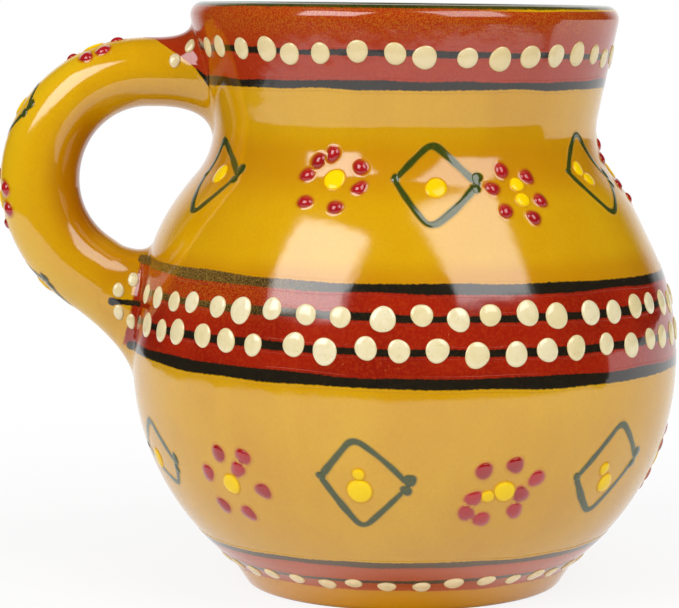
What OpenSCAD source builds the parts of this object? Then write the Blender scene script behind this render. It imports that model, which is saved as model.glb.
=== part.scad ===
// Painted clay mug: a thrown, round-bellied pot with a luted coil handle, red slip bands
// edged with dark lines, rows of cream slip beads, dot flowers and trailed diamonds.
// The origin is the centre of the foot on the table, +Z is up and the handle points to -X.
// Angles round the pot start at the front (-Y) and grow towards +X, so the handle is at -90.

/* [Pot] */
// Height from the table to the top of the lip
mug_h = 102; // [94:1:114]
// Outer radius at the lip
lip_r = 37.2; // [35:0.1:41]
// Outward lean of the rim, in degrees from upright
rim_lean = 11.5; // [8:0.5:15]
// Largest outer radius of the belly
belly_r = 47.7; // [45:0.1:53]
// Height of the largest radius
belly_z = 39.8; // [36:0.1:44]
// Radius of the shoulder's curve above the belly
shoulder_round = 51.3; // [48:0.1:56]
// Radius of the hollow between the shoulder and the rim
neck_round = 12; // [9:0.5:15]
// Thickness of the wall
wall_t = 4.6; // [3.6:0.1:5.6]
// Thickness of the floor
floor_t = 7; // [5.5:0.5:9]
// Rounding inside, where the wall meets the floor
floor_round = 10; // [6:0.5:13]

/* [Foot] */
// Outer radius of the foot at the table, before its edge is rounded
foot_r = 27.4; // [25.5:0.1:29]
// Outer radius where the foot meets the belly
foot_top_r = 30.4; // [29.8:0.1:32.5]
// Height where the foot meets the belly
foot_h = 4.6; // [4:0.1:6]
// Rounding of the foot's outer edge
foot_round = 1.8; // [1:0.1:2.4]
// Width of the flat ring that the mug stands on
foot_ring_w = 6; // [4:0.5:9]
// Depth of the hollow inside that ring
foot_hollow = 1.2; // [0.6:0.1:2]

/* [Handle] */
// How far the handle's centre line stands out past the belly
handle_stand = 16; // [14:0.2:19]
// Thickness of the handle's back and lower arm, seen from the side
handle_t = 13.8; // [12:0.1:15]
// Thickness of the handle's upper arm
handle_upper_t = 12; // [10.5:0.1:13.5]
// Width of the handle, seen from its back
handle_w = 14; // [12:0.1:16]
// Radius of the centre line's bends
handle_bend = 19; // [15:0.2:19]
// Dip of the lower arm below level, in degrees
handle_dip = 35; // [28:1:42]
// How far each root spreads to either side, past the handle's section
root_side_spread = 2; // [1:0.1:2.6]
// How far the upper root spreads up the rim
root_rim_spread = 3.4; // [2.4:0.1:4]
// How far the upper root spreads down the neck
root_neck_spread = 5.5; // [3:0.1:6.5]
// How far the lower root spreads up the shoulder
root_shoulder_spread = 3; // [2:0.1:4]
// How far the lower root spreads down the belly
root_belly_spread = 6.5; // [4:0.1:8]
// Length over which a root spreads
root_run = 8; // [5:0.5:9]
// Distance from the lip's top down to the upper root's edge
root_drop = 2.8; // [2.6:0.1:5]
// Rise of the lower arm's middle, at the wall, above the belly band's middle
root_rise = 0.3; // [-1:0.1:1.5]

/* [Bands and lines] */
// Thickness of a painted coat
coat_t = 0.25; // [0.15:0.05:0.4]
// Thickness of a painted line
line_t = 0.2; // [0.1:0.05:0.3]
// Drop from the lip's top to the rim bead line
rim_bead_drop = 8.1; // [7.2:0.1:9]
// Width of the rim bead line
rim_bead_line_w = 1.1; // [0.8:0.1:1.5]
// Drop from the lip's top to the rim border line
rim_border_drop = 13.5; // [12.7:0.1:14.6]
// Width of the rim border line
rim_border_w = 1.5; // [1:0.1:2]
// Height of the belly band's middle above the largest radius
belly_band_rise = 9.1; // [7:0.1:11]
// Distance between the belly band's two border lines
belly_band_h = 14.9; // [14:0.1:16.5]
// Width of the belly band's border lines
belly_border_w = 1.8; // [1.2:0.1:2.2]
// Rise of the upper bead line above the belly band's middle
belly_bead_rise = 2.9; // [2.7:0.1:3.2]
// Drop of the lower bead line below the belly band's middle
belly_bead_drop = 2.5; // [2.3:0.1:2.9]
// Width of the belly bead lines
belly_bead_line_w = 1.3; // [0.9:0.1:1.6]
// Height of the foot band's lower edge
foot_band_z = 4; // [3.2:0.1:4.3]
// Height of the foot bead line
foot_bead_z = 6; // [5.8:0.1:6.5]
// Width of the foot bead line, measured upright
foot_bead_line_w = 0.5; // [0.3:0.1:0.7]
// Height of the foot border line
foot_border_z = 9.5; // [8.9:0.1:10.3]
// Width of the foot border line, measured upright
foot_border_w = 0.9; // [0.6:0.1:1.2]

/* [Beads] */
// Radius of a rim bead
rim_bead_r = 1.9; // [1.5:0.05:2.1]
// Radius of a belly bead
belly_bead_r = 1.9; // [1.5:0.05:2.1]
// Radius of a foot bead
foot_bead_r = 1.5; // [1.1:0.05:1.6]
// Height of a cream bead above its seat
cream_bead_h = 0.55; // [0.3:0.05:0.8]
// Radius of a bead on the handle's roots
root_bead_r = 1.2; // [0.9:0.05:1.3]
// Beads in the full rim row, before the handle's root is left clear
rim_bead_count = 39; // [30:1:40]
// Beads in a full belly row, before the handle's root is left clear
belly_bead_count = 48; // [40:1:50]
// Beads in the foot row
foot_bead_count = 36; // [28:1:36]

/* [Flowers and diamonds] */
// Radius of a red petal bead
petal_r = 1.1; // [0.8:0.05:1.3]
// Height of a petal bead above its seat
petal_h = 0.55; // [0.3:0.05:0.8]
// Radius of the ring of petals, seen from the side
petal_ring_r = 4.7; // [4.2:0.1:5.2]
// Radius of a yellow eye
eye_r = 1.55; // [1.1:0.05:1.8]
// Height of an eye above its seat
eye_h = 0.5; // [0.3:0.05:0.8]
// Half the width of a diamond on the pot
diamond_half_w = 7.1; // [6:0.1:7.6]
// Half the height of a diamond on the pot, measured upright
diamond_half_h = 7.2; // [6:0.1:7.6]
// Half the width of a diamond on the handle
handle_diamond_half_w = 4.8; // [4:0.1:5.2]
// Half the length of a diamond on the handle
handle_diamond_half_h = 5.6; // [5:0.1:6]
// Half the width of a trailed line
trail_half_w = 0.65; // [0.4:0.05:0.8]
// Height of a trailed line above its seat
trail_h = 0.45; // [0.3:0.05:0.6]
// Length of each side that a diamond's left and right corners round off
trail_corner = 1.6; // [1.2:0.1:2]
// Length of each side that a diamond's top and bottom round off
trail_turn = 3; // [2.2:0.1:3.4]
// Radius of the ring of petals on the handle
handle_petal_ring_r = 4.4; // [4:0.1:4.6]
// Petals in a flower on the handle
handle_petal_count = 6; // [5:1:7]
// Least distance between two motifs along the handle's back
handle_motif_pitch = 15.5; // [14:0.5:18]

/* [Hidden] */

// Colours of the clay, the slips and the beads
glaze_gold = "#d9a321";
slip_red = "#a8321d";
slip_dark = "#221e18";
slip_cream = "#ecdfae";
slip_petal = "#a5182b";
slip_yellow = "#f4cd1d";
slip_green = "#44632f";
lip_green = "#4d5620";

// Clearances: under beads and trails, behind the handle's roots, and round the roots
bead_gap = 0.12;
root_gap = 0.1;
root_clear = 0.3;
// Room kept between a bead and the edge of a root
bead_clear = 0.4;
// Overrun of all cuts
cut_over = 1;
// Step for measuring slopes
slope_step = 0.02;

// Fineness of the wall, its arcs, the beads and the handle
wall_steps = 96;
arc_steps = 12;
bead_fn = 36;
dome_fn = 144;
ring_sides = 28;
bend_steps = 12;
root_steps = 4;
cap_steps = 3;

// Places of the first bead of each row, in degrees from the front
rim_bead_angle = 5;
belly_upper_bead_angle = 2;
belly_lower_bead_angle = 6;
foot_bead_angle = 4;
// Places round the pot of the motifs, in degrees from the front
shoulder_flower_angles = [-19.5, 29, 87, 138, 190, 242];
shoulder_diamond_angles = [-62, 7.5, 61, 112, 164, 216];
lower_flower_angles = [-40, 19.5, 84, 140, 196, 251];
lower_diamond_angles = [-69, -9.5, 47, 112, 168, 224];
// Heights of the motif rows between the lines that they lie between
shoulder_row_share = 0.5;
lower_flower_row_share = 0.42;
lower_diamond_row_share = 0.485;
// Hand-set petals of three flowers, used in turn: steps aside and up, as shares of the petal ring
shoulder_petal_shares = [
    [[-0.25, 1], [0.85, 0.55], [0.9, -0.15], [0.2, -0.8], [-0.9, -0.65], [-1.15, 0.25], [-0.8, 0.75]],
    [[-0.4, 0.4], [0.6, 0.15], [0.75, -0.65], [0.25, -1.2], [-0.7, -0.95], [-0.95, -0.2]],
    [[0, 1], [0.9, 0.5], [0.85, -0.5], [0, -1], [-0.9, -0.45], [-0.85, 0.5]]
];
lower_petal_shares = [
    [[-0.45, 1.1], [0.65, 1.1], [0.3, 0.6], [1.2, -0.1], [0.15, -1.05], [-1.05, -0.9], [-1.25, 0.3]],
    [
        [-0.7, 0.85], [0.4, 1], [1.3, 0.45], [0.8, -0.1],
        [0.7, -0.7], [-0.55, -0.95], [-1.15, -0.7], [-0.95, -0.15]
    ],
    [[0.1, 1], [0.95, 0.45], [0.8, -0.6], [-0.1, -1.05], [-0.95, -0.5], [-0.8, 0.55]]
];
// Eyes of the flowers, one bead or two: steps aside and up, and the size as a share of an eye's radius
shoulder_flower_eye_shares = [[[-0.05, 0.1, 1]], [[0.05, -0.1, 0.72], [0.05, -0.6, 0.72]], [[0, 0, 1]]];
lower_flower_eye_shares = [[[-0.2, 0, 1]], [[0.15, 0.05, 1], [-0.45, -0.1, 0.6]], [[0, 0, 1]]];
// Corners of three diamonds, used in turn: right, top, left and bottom, as shares of the half sizes
shoulder_corner_shares = [
    [[0.85, 0.1], [-0.65, 0.85], [-0.85, -0.1], [-0.1, -0.9]],
    [[0.95, -0.05], [-0.15, 0.95], [-0.95, 0.05], [-0.4, -1]],
    [[1, -0.15], [-0.25, 1.15], [-0.9, 0.1], [-0.2, -0.9]]
];
lower_corner_shares = [
    [[1.1, -0.15], [0, 0.9], [-0.95, 0.1], [0.6, -0.65]],
    [[1.05, -0.05], [-0.2, 1.05], [-1, 0.1], [-0.1, -1.15]],
    [[1.1, 0.2], [0.1, 1.1], [-1, -0.1], [-0.05, -1.1]]
];
// Eyes of the diamonds, in the same way
shoulder_diamond_eye_shares = [
    [[0, 0.05, 1]],
    [[-0.05, -0.1, 1]],
    [[-0.5, 0.2, 0.72], [-0.25, -0.05, 0.72]]
];
lower_diamond_eye_shares = [
    [[-0.2, -0.1, 1]],
    [[-0.1, -0.2, 1.15], [-0.1, 0.2, 0.55]],
    [[0.1, -0.35, 0.95], [-0.1, 0.02, 0.6]]
];
// Places of the first and last motif along the handle's back
handle_first_share = 0.15;
handle_last_share = 0.93;
// Looseness of the hand: of a bead's spacing, size and height
spacing_share = 0.13;
size_share = 0.11;
height_share = 0.28;

// The lip's round, and the point where the straight rim passes into it
lip_round = wall_t / 2;
lip_z = mug_h - lip_round * (1 + sin(rim_lean));
lip_edge = [lip_r, lip_z];
rim_out = [cos(rim_lean), -sin(rim_lean)];
rim_down = [-sin(rim_lean), -cos(rim_lean)];
lip_c = lip_edge - lip_round * rim_out;
// Where the red stops on the lip's round, and where the green starts and stops
lip_red_angle = 42;
lip_green_from_angle = 55;
lip_green_to_angle = 165;

// Lower belly: an arc upright at the largest radius, down to the foot
lower_round = ((belly_r - foot_top_r) ^ 2 + (belly_z - foot_h) ^ 2) / (2 * (belly_r - foot_top_r));
lower_c = [belly_r - lower_round, belly_z];

// Shoulder and neck: two arcs that touch each other, with the neck's arc also touching the rim
shoulder_c = [belly_r - shoulder_round, belly_z];
neck_reach = shoulder_round + neck_round;
neck_from = lip_edge + neck_round * rim_out - shoulder_c;
neck_fall = neck_from * rim_down;
neck_slide = -neck_fall - sqrt(neck_fall ^ 2 - neck_from * neck_from + neck_reach ^ 2);
neck_c = shoulder_c + neck_from + neck_slide * rim_down;
shoulder_end_z = belly_z + (neck_c[1] - belly_z) * shoulder_round / neck_reach;
neck_end_z = neck_c[1] - neck_round * rim_out[1];

// Foot's edge: an arc that touches the table and the side of the foot
foot_slope = (foot_top_r - foot_r) / foot_h;
foot_out = [1, -foot_slope] / norm([1, foot_slope]);
foot_edge_c = [foot_r - foot_round * (1 + foot_out[1]) / foot_out[0], foot_round];
foot_edge_z = foot_round * (1 + foot_out[1]);
hollow_r = foot_edge_c[0] - foot_ring_w;

// Inside: an arc that touches the floor and the lower wall
inner_round = lower_round - wall_t;
floor_c_z = floor_t + floor_round;
floor_c = [lower_c[0] + sqrt((inner_round - floor_round) ^ 2 - (belly_z - floor_c_z) ^ 2), floor_c_z];
floor_arc_end = atan2(floor_c[1] - lower_c[1], floor_c[0] - lower_c[0]);
floor_arc_top = floor_c[1] + floor_round * sin(floor_arc_end);

// Heights of the lines
rim_bead_z = mug_h - rim_bead_drop;
rim_border_z = mug_h - rim_border_drop;
belly_band_z = belly_z + belly_band_rise;
belly_upper_z = belly_band_z + belly_band_h / 2;
belly_lower_z = belly_band_z - belly_band_h / 2;
belly_upper_bead_z = belly_band_z + belly_bead_rise;
belly_lower_bead_z = belly_band_z - belly_bead_drop;
shoulder_row_z = belly_upper_z + (rim_border_z - belly_upper_z) * shoulder_row_share;
lower_flower_row_z = foot_border_z + (belly_lower_z - foot_border_z) * lower_flower_row_share;
lower_diamond_row_z = foot_border_z + (belly_lower_z - foot_border_z) * lower_diamond_row_share;

// Roots of the handle on the wall
root_half_w = handle_w / 2 + root_side_spread;
upper_arm_h = handle_upper_t / 2;
lower_arm_h = handle_t / 2 / cos(handle_dip);
upper_root_z = mug_h - root_drop - root_rim_spread - upper_arm_h;
lower_root_z = belly_band_z + root_rise;
upper_wall_r = wall_r(upper_root_z);
lower_wall_r = wall_r(lower_root_z);
// Centre line: level arm, bend, upright run, bend, dipping arm
handle_reach = belly_r + handle_stand;
arm_fall = tan(handle_dip) * (handle_reach - lower_wall_r);
bend_fall_share = 1 + cos(handle_dip) - tan(handle_dip) * (1 - sin(handle_dip));
bend_room = upper_root_z - lower_root_z - arm_fall;
bend_r = min(handle_bend, bend_room / bend_fall_share, handle_reach - upper_wall_r - root_run);
upright_run = bend_room - bend_r * bend_fall_share;
bend_x = -(handle_reach - bend_r);
upper_bend_z = upper_root_z - bend_r;
lower_bend_z = upper_bend_z - upright_run;
lower_arm = (handle_reach - bend_r * (1 - sin(handle_dip)) - lower_wall_r) / cos(handle_dip);
// A root spreads over its run, or over most of a shorter arm
root_arm_share = 0.85;
lower_run = min(root_run, lower_arm * root_arm_share);
lower_out_angle = 270 - handle_dip;
// A root's middle height, and how far it reaches above and below that
upper_spot = [upper_root_z, upper_arm_h + root_rim_spread, upper_arm_h + root_neck_spread];
lower_spot = [lower_root_z, lower_arm_h + root_shoulder_spread, lower_arm_h + root_belly_spread];

// Outer radius of the pot at a height
function wall_r(z) =
    z < foot_h ? foot_r + foot_slope * z :
    z < belly_z ? lower_c[0] + sqrt(lower_round ^ 2 - (z - belly_z) ^ 2) :
    z < shoulder_end_z ? shoulder_c[0] + sqrt(shoulder_round ^ 2 - (z - belly_z) ^ 2) :
    z < neck_end_z ? neck_c[0] - sqrt(neck_round ^ 2 - (z - neck_c[1]) ^ 2) :
    lip_r - (lip_z - z) * tan(rim_lean);

// Outward direction of the wall at a height, as [radial, upward]
function wall_slope(z) = (wall_r(z + slope_step) - wall_r(z - slope_step)) / (2 * slope_step);
function wall_out(z) = [1, -wall_slope(z)] / norm([1, wall_slope(z)]);

// The wall as straight facets between evenly spaced heights
facet_h = (lip_z - foot_h) / wall_steps;
function facet_z(i) = foot_h + facet_h * i;
function facet_r(z) =
    let (i = max(0, min(wall_steps - 1, floor((z - foot_h) / facet_h))), low = facet_z(i))
    z < foot_h ? wall_r(z)
        : wall_r(low) + (wall_r(low + facet_h) - wall_r(low)) * (z - low) / facet_h;

// Outline of the wall between two heights, and the same outline lifted off the wall
function wall_path(z0, z1) = concat(
    [[facet_r(z0), z0]],
    [for (i = [0 : wall_steps]) if (facet_z(i) > z0 && facet_z(i) < z1) [wall_r(facet_z(i)), facet_z(i)]],
    [[facet_r(z1), z1]]
);
function lifted(path, lift) = [for (p = path) p + lift * wall_out(p[1])];
function reversed(list) = [for (i = [len(list) - 1 : -1 : 0]) list[i]];
function arc(c, r, from, to) = [
    for (i = [0 : arc_steps]) let (a = from + (to - from) * i / arc_steps) c + r * [cos(a), sin(a)]
];

// Point and outward direction in space, at an angle round the pot and a height
function round_pot(angle, radius, z) = [radius * sin(angle), -radius * cos(angle), z];
function pot_point(angle, z) = round_pot(angle, wall_r(z), z);
function pot_out(angle, z) = let (out = wall_out(z)) round_pot(angle, out[0], out[1]);

// A place on the wall, moved along it: angle and height after a step sideways and a step up
function stepped(angle, z, side, up) = [angle + side / wall_r(z) * 180 / PI, z + up];

// Wall behind the handle: a point seen along the handle's direction, at a side step and a height
function root_seat(side, z) = [-sqrt(wall_r(z) ^ 2 - side ^ 2) - root_gap, side, z];
function spot_reach(spot, up) = up > 0 ? spot[1] : spot[2];
function spot_seat(spot, side, up) = root_seat(root_half_w * side, spot[0] + spot_reach(spot, up) * up);

// Section of the handle: a point round an oval whose outward direction is given by an angle
function section(c, out_angle, a) = [
    c[0] + thick_at(out_angle) / 2 * cos(a) * cos(out_angle),
    handle_w / 2 * sin(a),
    c[1] + thick_at(out_angle) / 2 * cos(a) * sin(out_angle)
];
// Thickness, growing round the upper bend from the upper arm's to the back's
function thick_at(out_angle) =
    let (grown = (1 - cos(2 * (min(out_angle, 180) - 90))) / 2)
    handle_upper_t + (handle_t - handle_upper_t) * grown;
function bend_c(angle) = [bend_x, angle > 180 ? lower_bend_z : upper_bend_z];
function bend_centre(angle) = bend_c(angle) + bend_r * [cos(angle), sin(angle)];
upper_arm_c = [-upper_wall_r - root_run, upper_root_z];
lower_arm_c = [-lower_wall_r - lower_run * cos(handle_dip), lower_root_z + lower_run * sin(handle_dip)];

// A root swings from the wall into the handle's section
function swing(from, by, to, t) = (1 - t) ^ 2 * from + 2 * t * (1 - t) * by + t ^ 2 * to;
function upper_root(a, t) = swing(
    spot_seat(upper_spot, sin(a), cos(a)),
    root_seat(handle_w / 2 * sin(a), upper_root_z + upper_arm_h * cos(a)),
    section(upper_arm_c, 90, a),
    t
);
function lower_root(a, t) = swing(
    spot_seat(lower_spot, sin(a), -cos(a)),
    root_seat(handle_w / 2 * sin(a), lower_root_z - lower_arm_h * cos(a)),
    section(lower_arm_c, lower_out_angle, a),
    t
);

// Outward direction on a root, from two small steps along it
step_angle = 1;
step_share = 0.02;
function unit(v) = v / norm(v);
function upper_root_out(a, t) = unit(cross(
    upper_root(a + step_angle, t) - upper_root(a - step_angle, t),
    upper_root(a, t + step_share) - upper_root(a, t - step_share)
));
function lower_root_out(a, t) = unit(cross(
    lower_root(a, t + step_share) - lower_root(a, t - step_share),
    lower_root(a + step_angle, t) - lower_root(a - step_angle, t)
));

// The handle's back as a run: upper bend, upright, lower bend, lower arm
back_r = bend_r + handle_t / 2;
back_upper_run = back_r * PI / 2;
back_lower_run = back_r * (lower_out_angle - 180) * PI / 180;
back_run = back_upper_run + upright_run + back_lower_run;
function back_angle(run) =
    run < back_upper_run ? 90 + run / back_r * 180 / PI :
    run < back_upper_run + upright_run ? 180 :
    min(lower_out_angle, 180 + (run - back_upper_run - upright_run) / back_r * 180 / PI);
function back_centre(run) =
    let (upright = max(0, min(upright_run, run - back_upper_run)), arm = max(0, run - back_run))
    bend_c(0) + bend_r * [cos(back_angle(run)), sin(back_angle(run))]
        + upright * [0, -1] + arm * [-sin(lower_out_angle), cos(lower_out_angle)];

// Point and outward direction on the handle's back, at a run along it and a step to the side
function back_turn(side) = asin(side / (handle_w / 2));
function back_point(run, side) = section(back_centre(run), back_angle(run), back_turn(side));
function back_out(run, side) =
    let (angle = back_angle(run), a = back_turn(side))
    let (flat = cos(a) / thick_at(angle), across = sin(a) / handle_w)
    unit([flat * cos(angle), across, flat * sin(angle)]);

// Motifs down the back: as many as its run holds, flowers and diamonds in turn
handle_motifs = max(2, floor(back_run / handle_motif_pitch));
handle_runs = [for (i = [0 : handle_motifs - 1])
    back_run * (handle_first_share + (handle_last_share - handle_first_share) * i / (handle_motifs - 1))];
handle_flower_runs = [for (i = [0 : 2 : handle_motifs - 1]) handle_runs[i]];
handle_diamond_runs = [for (i = [1 : 2 : handle_motifs - 1]) handle_runs[i]];

// A closed skin over rings of points, with a point at each end
module ring_skin(start, rings, end) {
    n = len(rings[0]);
    m = len(rings);
    points = concat([start], [for (ring = rings) each ring], [end]);
    function at(i, j) = 1 + i * n + (j % n);
    faces = concat(
        [for (j = [0 : n - 1]) [0, at(0, j + 1), at(0, j)]],
        [for (i = [0 : m - 2], j = [0 : n - 1]) each [
            [at(i, j), at(i, j + 1), at(i + 1, j)],
            [at(i, j + 1), at(i + 1, j + 1), at(i + 1, j)]
        ]],
        [for (j = [0 : n - 1]) [len(points) - 1, at(m - 1, j), at(m - 1, j + 1)]]
    );
    polyhedron(points, faces);
}

// A closed thin sheet over rows of points: each row runs along the top, then back underneath
module sheet_skin(rows) {
    n = len(rows[0]);
    m = len(rows);
    last = n / 2 - 1;
    points = [for (row = rows) each row];
    function at(i, j) = i * n + (j % n);
    faces = concat(
        [for (j = [0 : last - 1]) each [
            [at(0, j), at(0, n - 1 - j), at(0, j + 1)],
            [at(0, j + 1), at(0, n - 1 - j), at(0, n - 2 - j)]
        ]],
        [for (i = [0 : m - 2], j = [0 : n - 1]) each [
            [at(i, j), at(i, j + 1), at(i + 1, j)],
            [at(i, j + 1), at(i + 1, j + 1), at(i + 1, j)]
        ]],
        [for (j = [0 : last - 1]) each [
            [at(m - 1, j), at(m - 1, j + 1), at(m - 1, n - 1 - j)],
            [at(m - 1, j + 1), at(m - 1, n - 2 - j), at(m - 1, n - 1 - j)]
        ]]
    );
    polyhedron(points, faces);
}

// A closed ridge along a loop of points, each with its outward direction
trail_side_shares = [-1, -0.62, 0, 0.62, 1];
trail_rise_shares = [0, 0.75, 1, 0.75, 0];
module trail(points, outs) {
    n = len(points);
    m = len(trail_side_shares);
    ridge = [
        for (i = [0 : n - 1])
            let (along = unit(points[(i + 1) % n] - points[(i + n - 1) % n]), side = cross(outs[i], along))
            for (k = [0 : m - 1])
                points[i] + side * trail_half_w * trail_side_shares[k]
                    + outs[i] * (bead_gap + trail_h * trail_rise_shares[k])
    ];
    function at(i, k) = (i % n) * m + (k % m);
    faces = [for (i = [0 : n - 1], k = [0 : m - 1]) each [
        [at(i, k), at(i + 1, k), at(i, k + 1)],
        [at(i, k + 1), at(i + 1, k), at(i + 1, k + 1)]
    ]];
    polyhedron(ridge, faces);
}

// Outline of a diamond as side and up steps: rounded corners and straight sides between them
bend_shares = [0, 1 / 3, 2 / 3, 1];
side_shares = [1 / 3, 2 / 3];
function towards(from, to, run) = from + unit(to - from) * run;
function corner_cut(k) = k % 2 == 0 ? trail_corner : trail_turn;
function diamond_outline(half_w, half_h, corner_shares) =
    let (corners = [for (c = corner_shares) [half_w * c[0], half_h * c[1]]])
    [for (k = [0 : 3])
        let (
            c = corners[k],
            next = corners[(k + 1) % 4],
            leave = towards(c, corners[(k + 3) % 4], corner_cut(k)),
            join = towards(c, next, corner_cut(k)),
            side_end = towards(next, c, corner_cut(k + 1))
        )
        each concat(
            [for (t = bend_shares) swing(leave, c, join, t)],
            [for (t = side_shares) join + (side_end - join) * t]
        )];

// The form that a motif takes: those in the list, in turn
function form(forms, i) = forms[i % len(forms)];

// A low round bead on its seat, and the same bead stood on a point along an outward direction
module bead(r, h) {
    dome_r = (r ^ 2 + h ^ 2) / (2 * h);
    rotate_extrude($fn = bead_fn)
        intersection() {
            translate([0, h - dome_r])
                circle(r = dome_r, $fn = dome_fn);
            square([r + cut_over, h + cut_over]);
        }
}

module stood_bead(point, out, lift, r, h) {
    translate(point + out * lift)
        rotate([0, acos(out[2]), atan2(out[1], out[0])])
            bead(r, h);
}

// A painted ring between two heights, left clear round the handle's root
module painted_ring(z0, z1, lift, t) {
    path = wall_path(z0, z1);
    rotate_extrude(convexity = 4)
        polygon(concat(lifted(path, lift), reversed(lifted(path, lift + t))));
}

module root_clearance(spot) {
    outline = [for (j = [0 : ring_sides - 1])
        let (a = 360 * j / ring_sides)
        [(spot_reach(spot, cos(a)) + root_clear) * cos(a), (root_half_w + root_clear) * sin(a)]];
    translate([0, 0, spot[0]])
        rotate([0, -90, 0])
            linear_extrude(handle_reach)
                polygon(outline);
}

module line_ring(z, w, lift, spot) {
    difference() {
        painted_ring(z - w / 2, z + w / 2, lift, line_t);
        root_clearance(spot);
    }
}

// A row of cream beads round the pot, loose in spacing, size and height, clear of a root
module bead_row(z, count, first, r, spot, seed) {
    loose = rands(-1, 1, 3 * count, seed);
    for (i = [0 : count - 1]) {
        angle = first + (i + loose[3 * i] * spacing_share) * 360 / count;
        bead_r = r * (1 + loose[3 * i + 1] * size_share);
        bead_z = z + loose[3 * i + 2] * r * height_share;
        place = pot_point(angle, bead_z);
        rise = bead_z - spot[0];
        from_root = norm([place[1], rise * root_half_w / spot_reach(spot, rise)]);
        clear = place[0] > 0 || from_root > root_half_w + root_clear + bead_r + bead_clear;
        if (clear)
            stood_bead(place, pot_out(angle, bead_z), coat_t + line_t + bead_gap, bead_r, cream_bead_h);
    }
}

// A row of dot flowers' petals, of eyes, and of diamonds round the pot
module pot_petals(angles, z, forms) {
    for (i = [0 : len(angles) - 1], step = petal_ring_r * form(forms, i)) {
        place = stepped(angles[i], z, step[0], step[1]);
        stood_bead(pot_point(place[0], place[1]), pot_out(place[0], place[1]), bead_gap, petal_r, petal_h);
    }
}

module pot_eyes(angles, z, forms, half_w, half_h) {
    for (i = [0 : len(angles) - 1], step = form(forms, i)) {
        place = stepped(angles[i], z, half_w * step[0], half_h * step[1]);
        r = eye_r * step[2];
        stood_bead(pot_point(place[0], place[1]), pot_out(place[0], place[1]), bead_gap, r, eye_h);
    }
}

module pot_diamonds(angles, z, forms) {
    for (i = [0 : len(angles) - 1]) {
        outline = diamond_outline(diamond_half_w, diamond_half_h, form(forms, i));
        places = [for (p = outline) stepped(angles[i], z, p[0], p[1])];
        trail(
            [for (p = places) pot_point(p[0], p[1])],
            [for (p = places) pot_out(p[0], p[1])]
        );
    }
}

// The same motifs on the handle's back
module handle_petals(run, seed) {
    loose = rands(-1, 1, handle_petal_count, seed);
    for (k = [0 : handle_petal_count - 1]) {
        turn = (k + loose[k] * spacing_share) * 360 / handle_petal_count;
        place = run + handle_petal_ring_r * cos(turn);
        side = handle_petal_ring_r * sin(turn);
        stood_bead(back_point(place, side), back_out(place, side), bead_gap, petal_r, petal_h);
    }
}

module handle_eyes(runs) {
    for (run = runs)
        stood_bead(back_point(run, 0), back_out(run, 0), bead_gap, eye_r, eye_h);
}

// The thrown pot: wall, lip, floor and foot, turned about its axis
module pot_body() {
    outer = wall_path(foot_edge_z, lip_z);
    inner = [
        for (i = [wall_steps : -1 : 0])
            let (p = [wall_r(facet_z(i)), facet_z(i)] - wall_t * wall_out(facet_z(i)))
            if (p[1] > floor_arc_top) p
    ];
    hollow = [for (s = [0 : 1 / arc_steps : 1]) [hollow_r * s, foot_hollow * (1 - s ^ 2)]];
    color(glaze_gold)
        rotate_extrude(convexity = 6)
            polygon(concat(
                arc(foot_edge_c, foot_round, -90, atan2(foot_out[1], foot_out[0])),
                outer,
                arc(lip_c, lip_round, -rim_lean, 180 - rim_lean),
                inner,
                arc(floor_c, floor_round, floor_arc_end, -90),
                [[0, floor_t]],
                hollow
            ));
}

// The coil handle: oval sections along its bends, spread onto the wall at both roots
module handle() {
    turns = [for (j = [0 : ring_sides - 1]) 360 * j / ring_sides];
    upper_cap = [for (i = [1 : cap_steps - 1]) let (s = i / cap_steps)
        [for (a = turns) spot_seat(upper_spot, s * sin(a), s * cos(a))]];
    lower_cap = [for (i = [cap_steps - 1 : -1 : 1]) let (s = i / cap_steps)
        [for (a = turns) spot_seat(lower_spot, s * sin(a), -s * cos(a))]];
    upper_rings = [for (i = [0 : root_steps]) [for (a = turns) upper_root(a, i / root_steps)]];
    lower_rings = [for (i = [root_steps : -1 : 0]) [for (a = turns) lower_root(a, i / root_steps)]];
    upper_bend = [for (i = [0 : bend_steps]) let (angle = 90 + 90 * i / bend_steps)
        [for (a = turns) section(bend_centre(angle), angle, a)]];
    lower_bend = [for (i = [1 : bend_steps]) let (angle = 180 + (lower_out_angle - 180) * i / bend_steps)
        [for (a = turns) section(bend_centre(angle), angle, a)]];
    rings = concat(upper_cap, upper_rings, upper_bend, lower_bend, lower_rings, lower_cap);
    color(glaze_gold)
        ring_skin(spot_seat(upper_spot, 0, 0), rings, spot_seat(lower_spot, 0, 0));
}

// Red coats of the rim, the belly and the foot
module rim_red_band() {
    path = wall_path(rim_border_z + rim_border_w / 2, lip_z);
    inner = concat(path, arc(lip_c, lip_round, -rim_lean, lip_red_angle));
    outer = concat(lifted(path, coat_t), arc(lip_c, lip_round + coat_t, -rim_lean, lip_red_angle));
    color(slip_red)
        difference() {
            rotate_extrude(convexity = 4)
                polygon(concat(inner, reversed(outer)));
            root_clearance(upper_spot);
        }
}

module belly_red_band() {
    color(slip_red)
        difference() {
            painted_ring(
                belly_lower_z + belly_border_w / 2,
                belly_upper_z - belly_border_w / 2,
                0,
                coat_t
            );
            root_clearance(lower_spot);
        }
}

module foot_red_band() {
    color(slip_red)
        painted_ring(foot_band_z, foot_border_z - foot_border_w / 2, 0, coat_t);
}

// Green coat over the top of the lip
module lip_green_band() {
    color(lip_green)
        rotate_extrude(convexity = 4)
            polygon(concat(
                arc(lip_c, lip_round, lip_green_from_angle, lip_green_to_angle),
                arc(lip_c, lip_round + coat_t, lip_green_to_angle, lip_green_from_angle)
            ));
}

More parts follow.
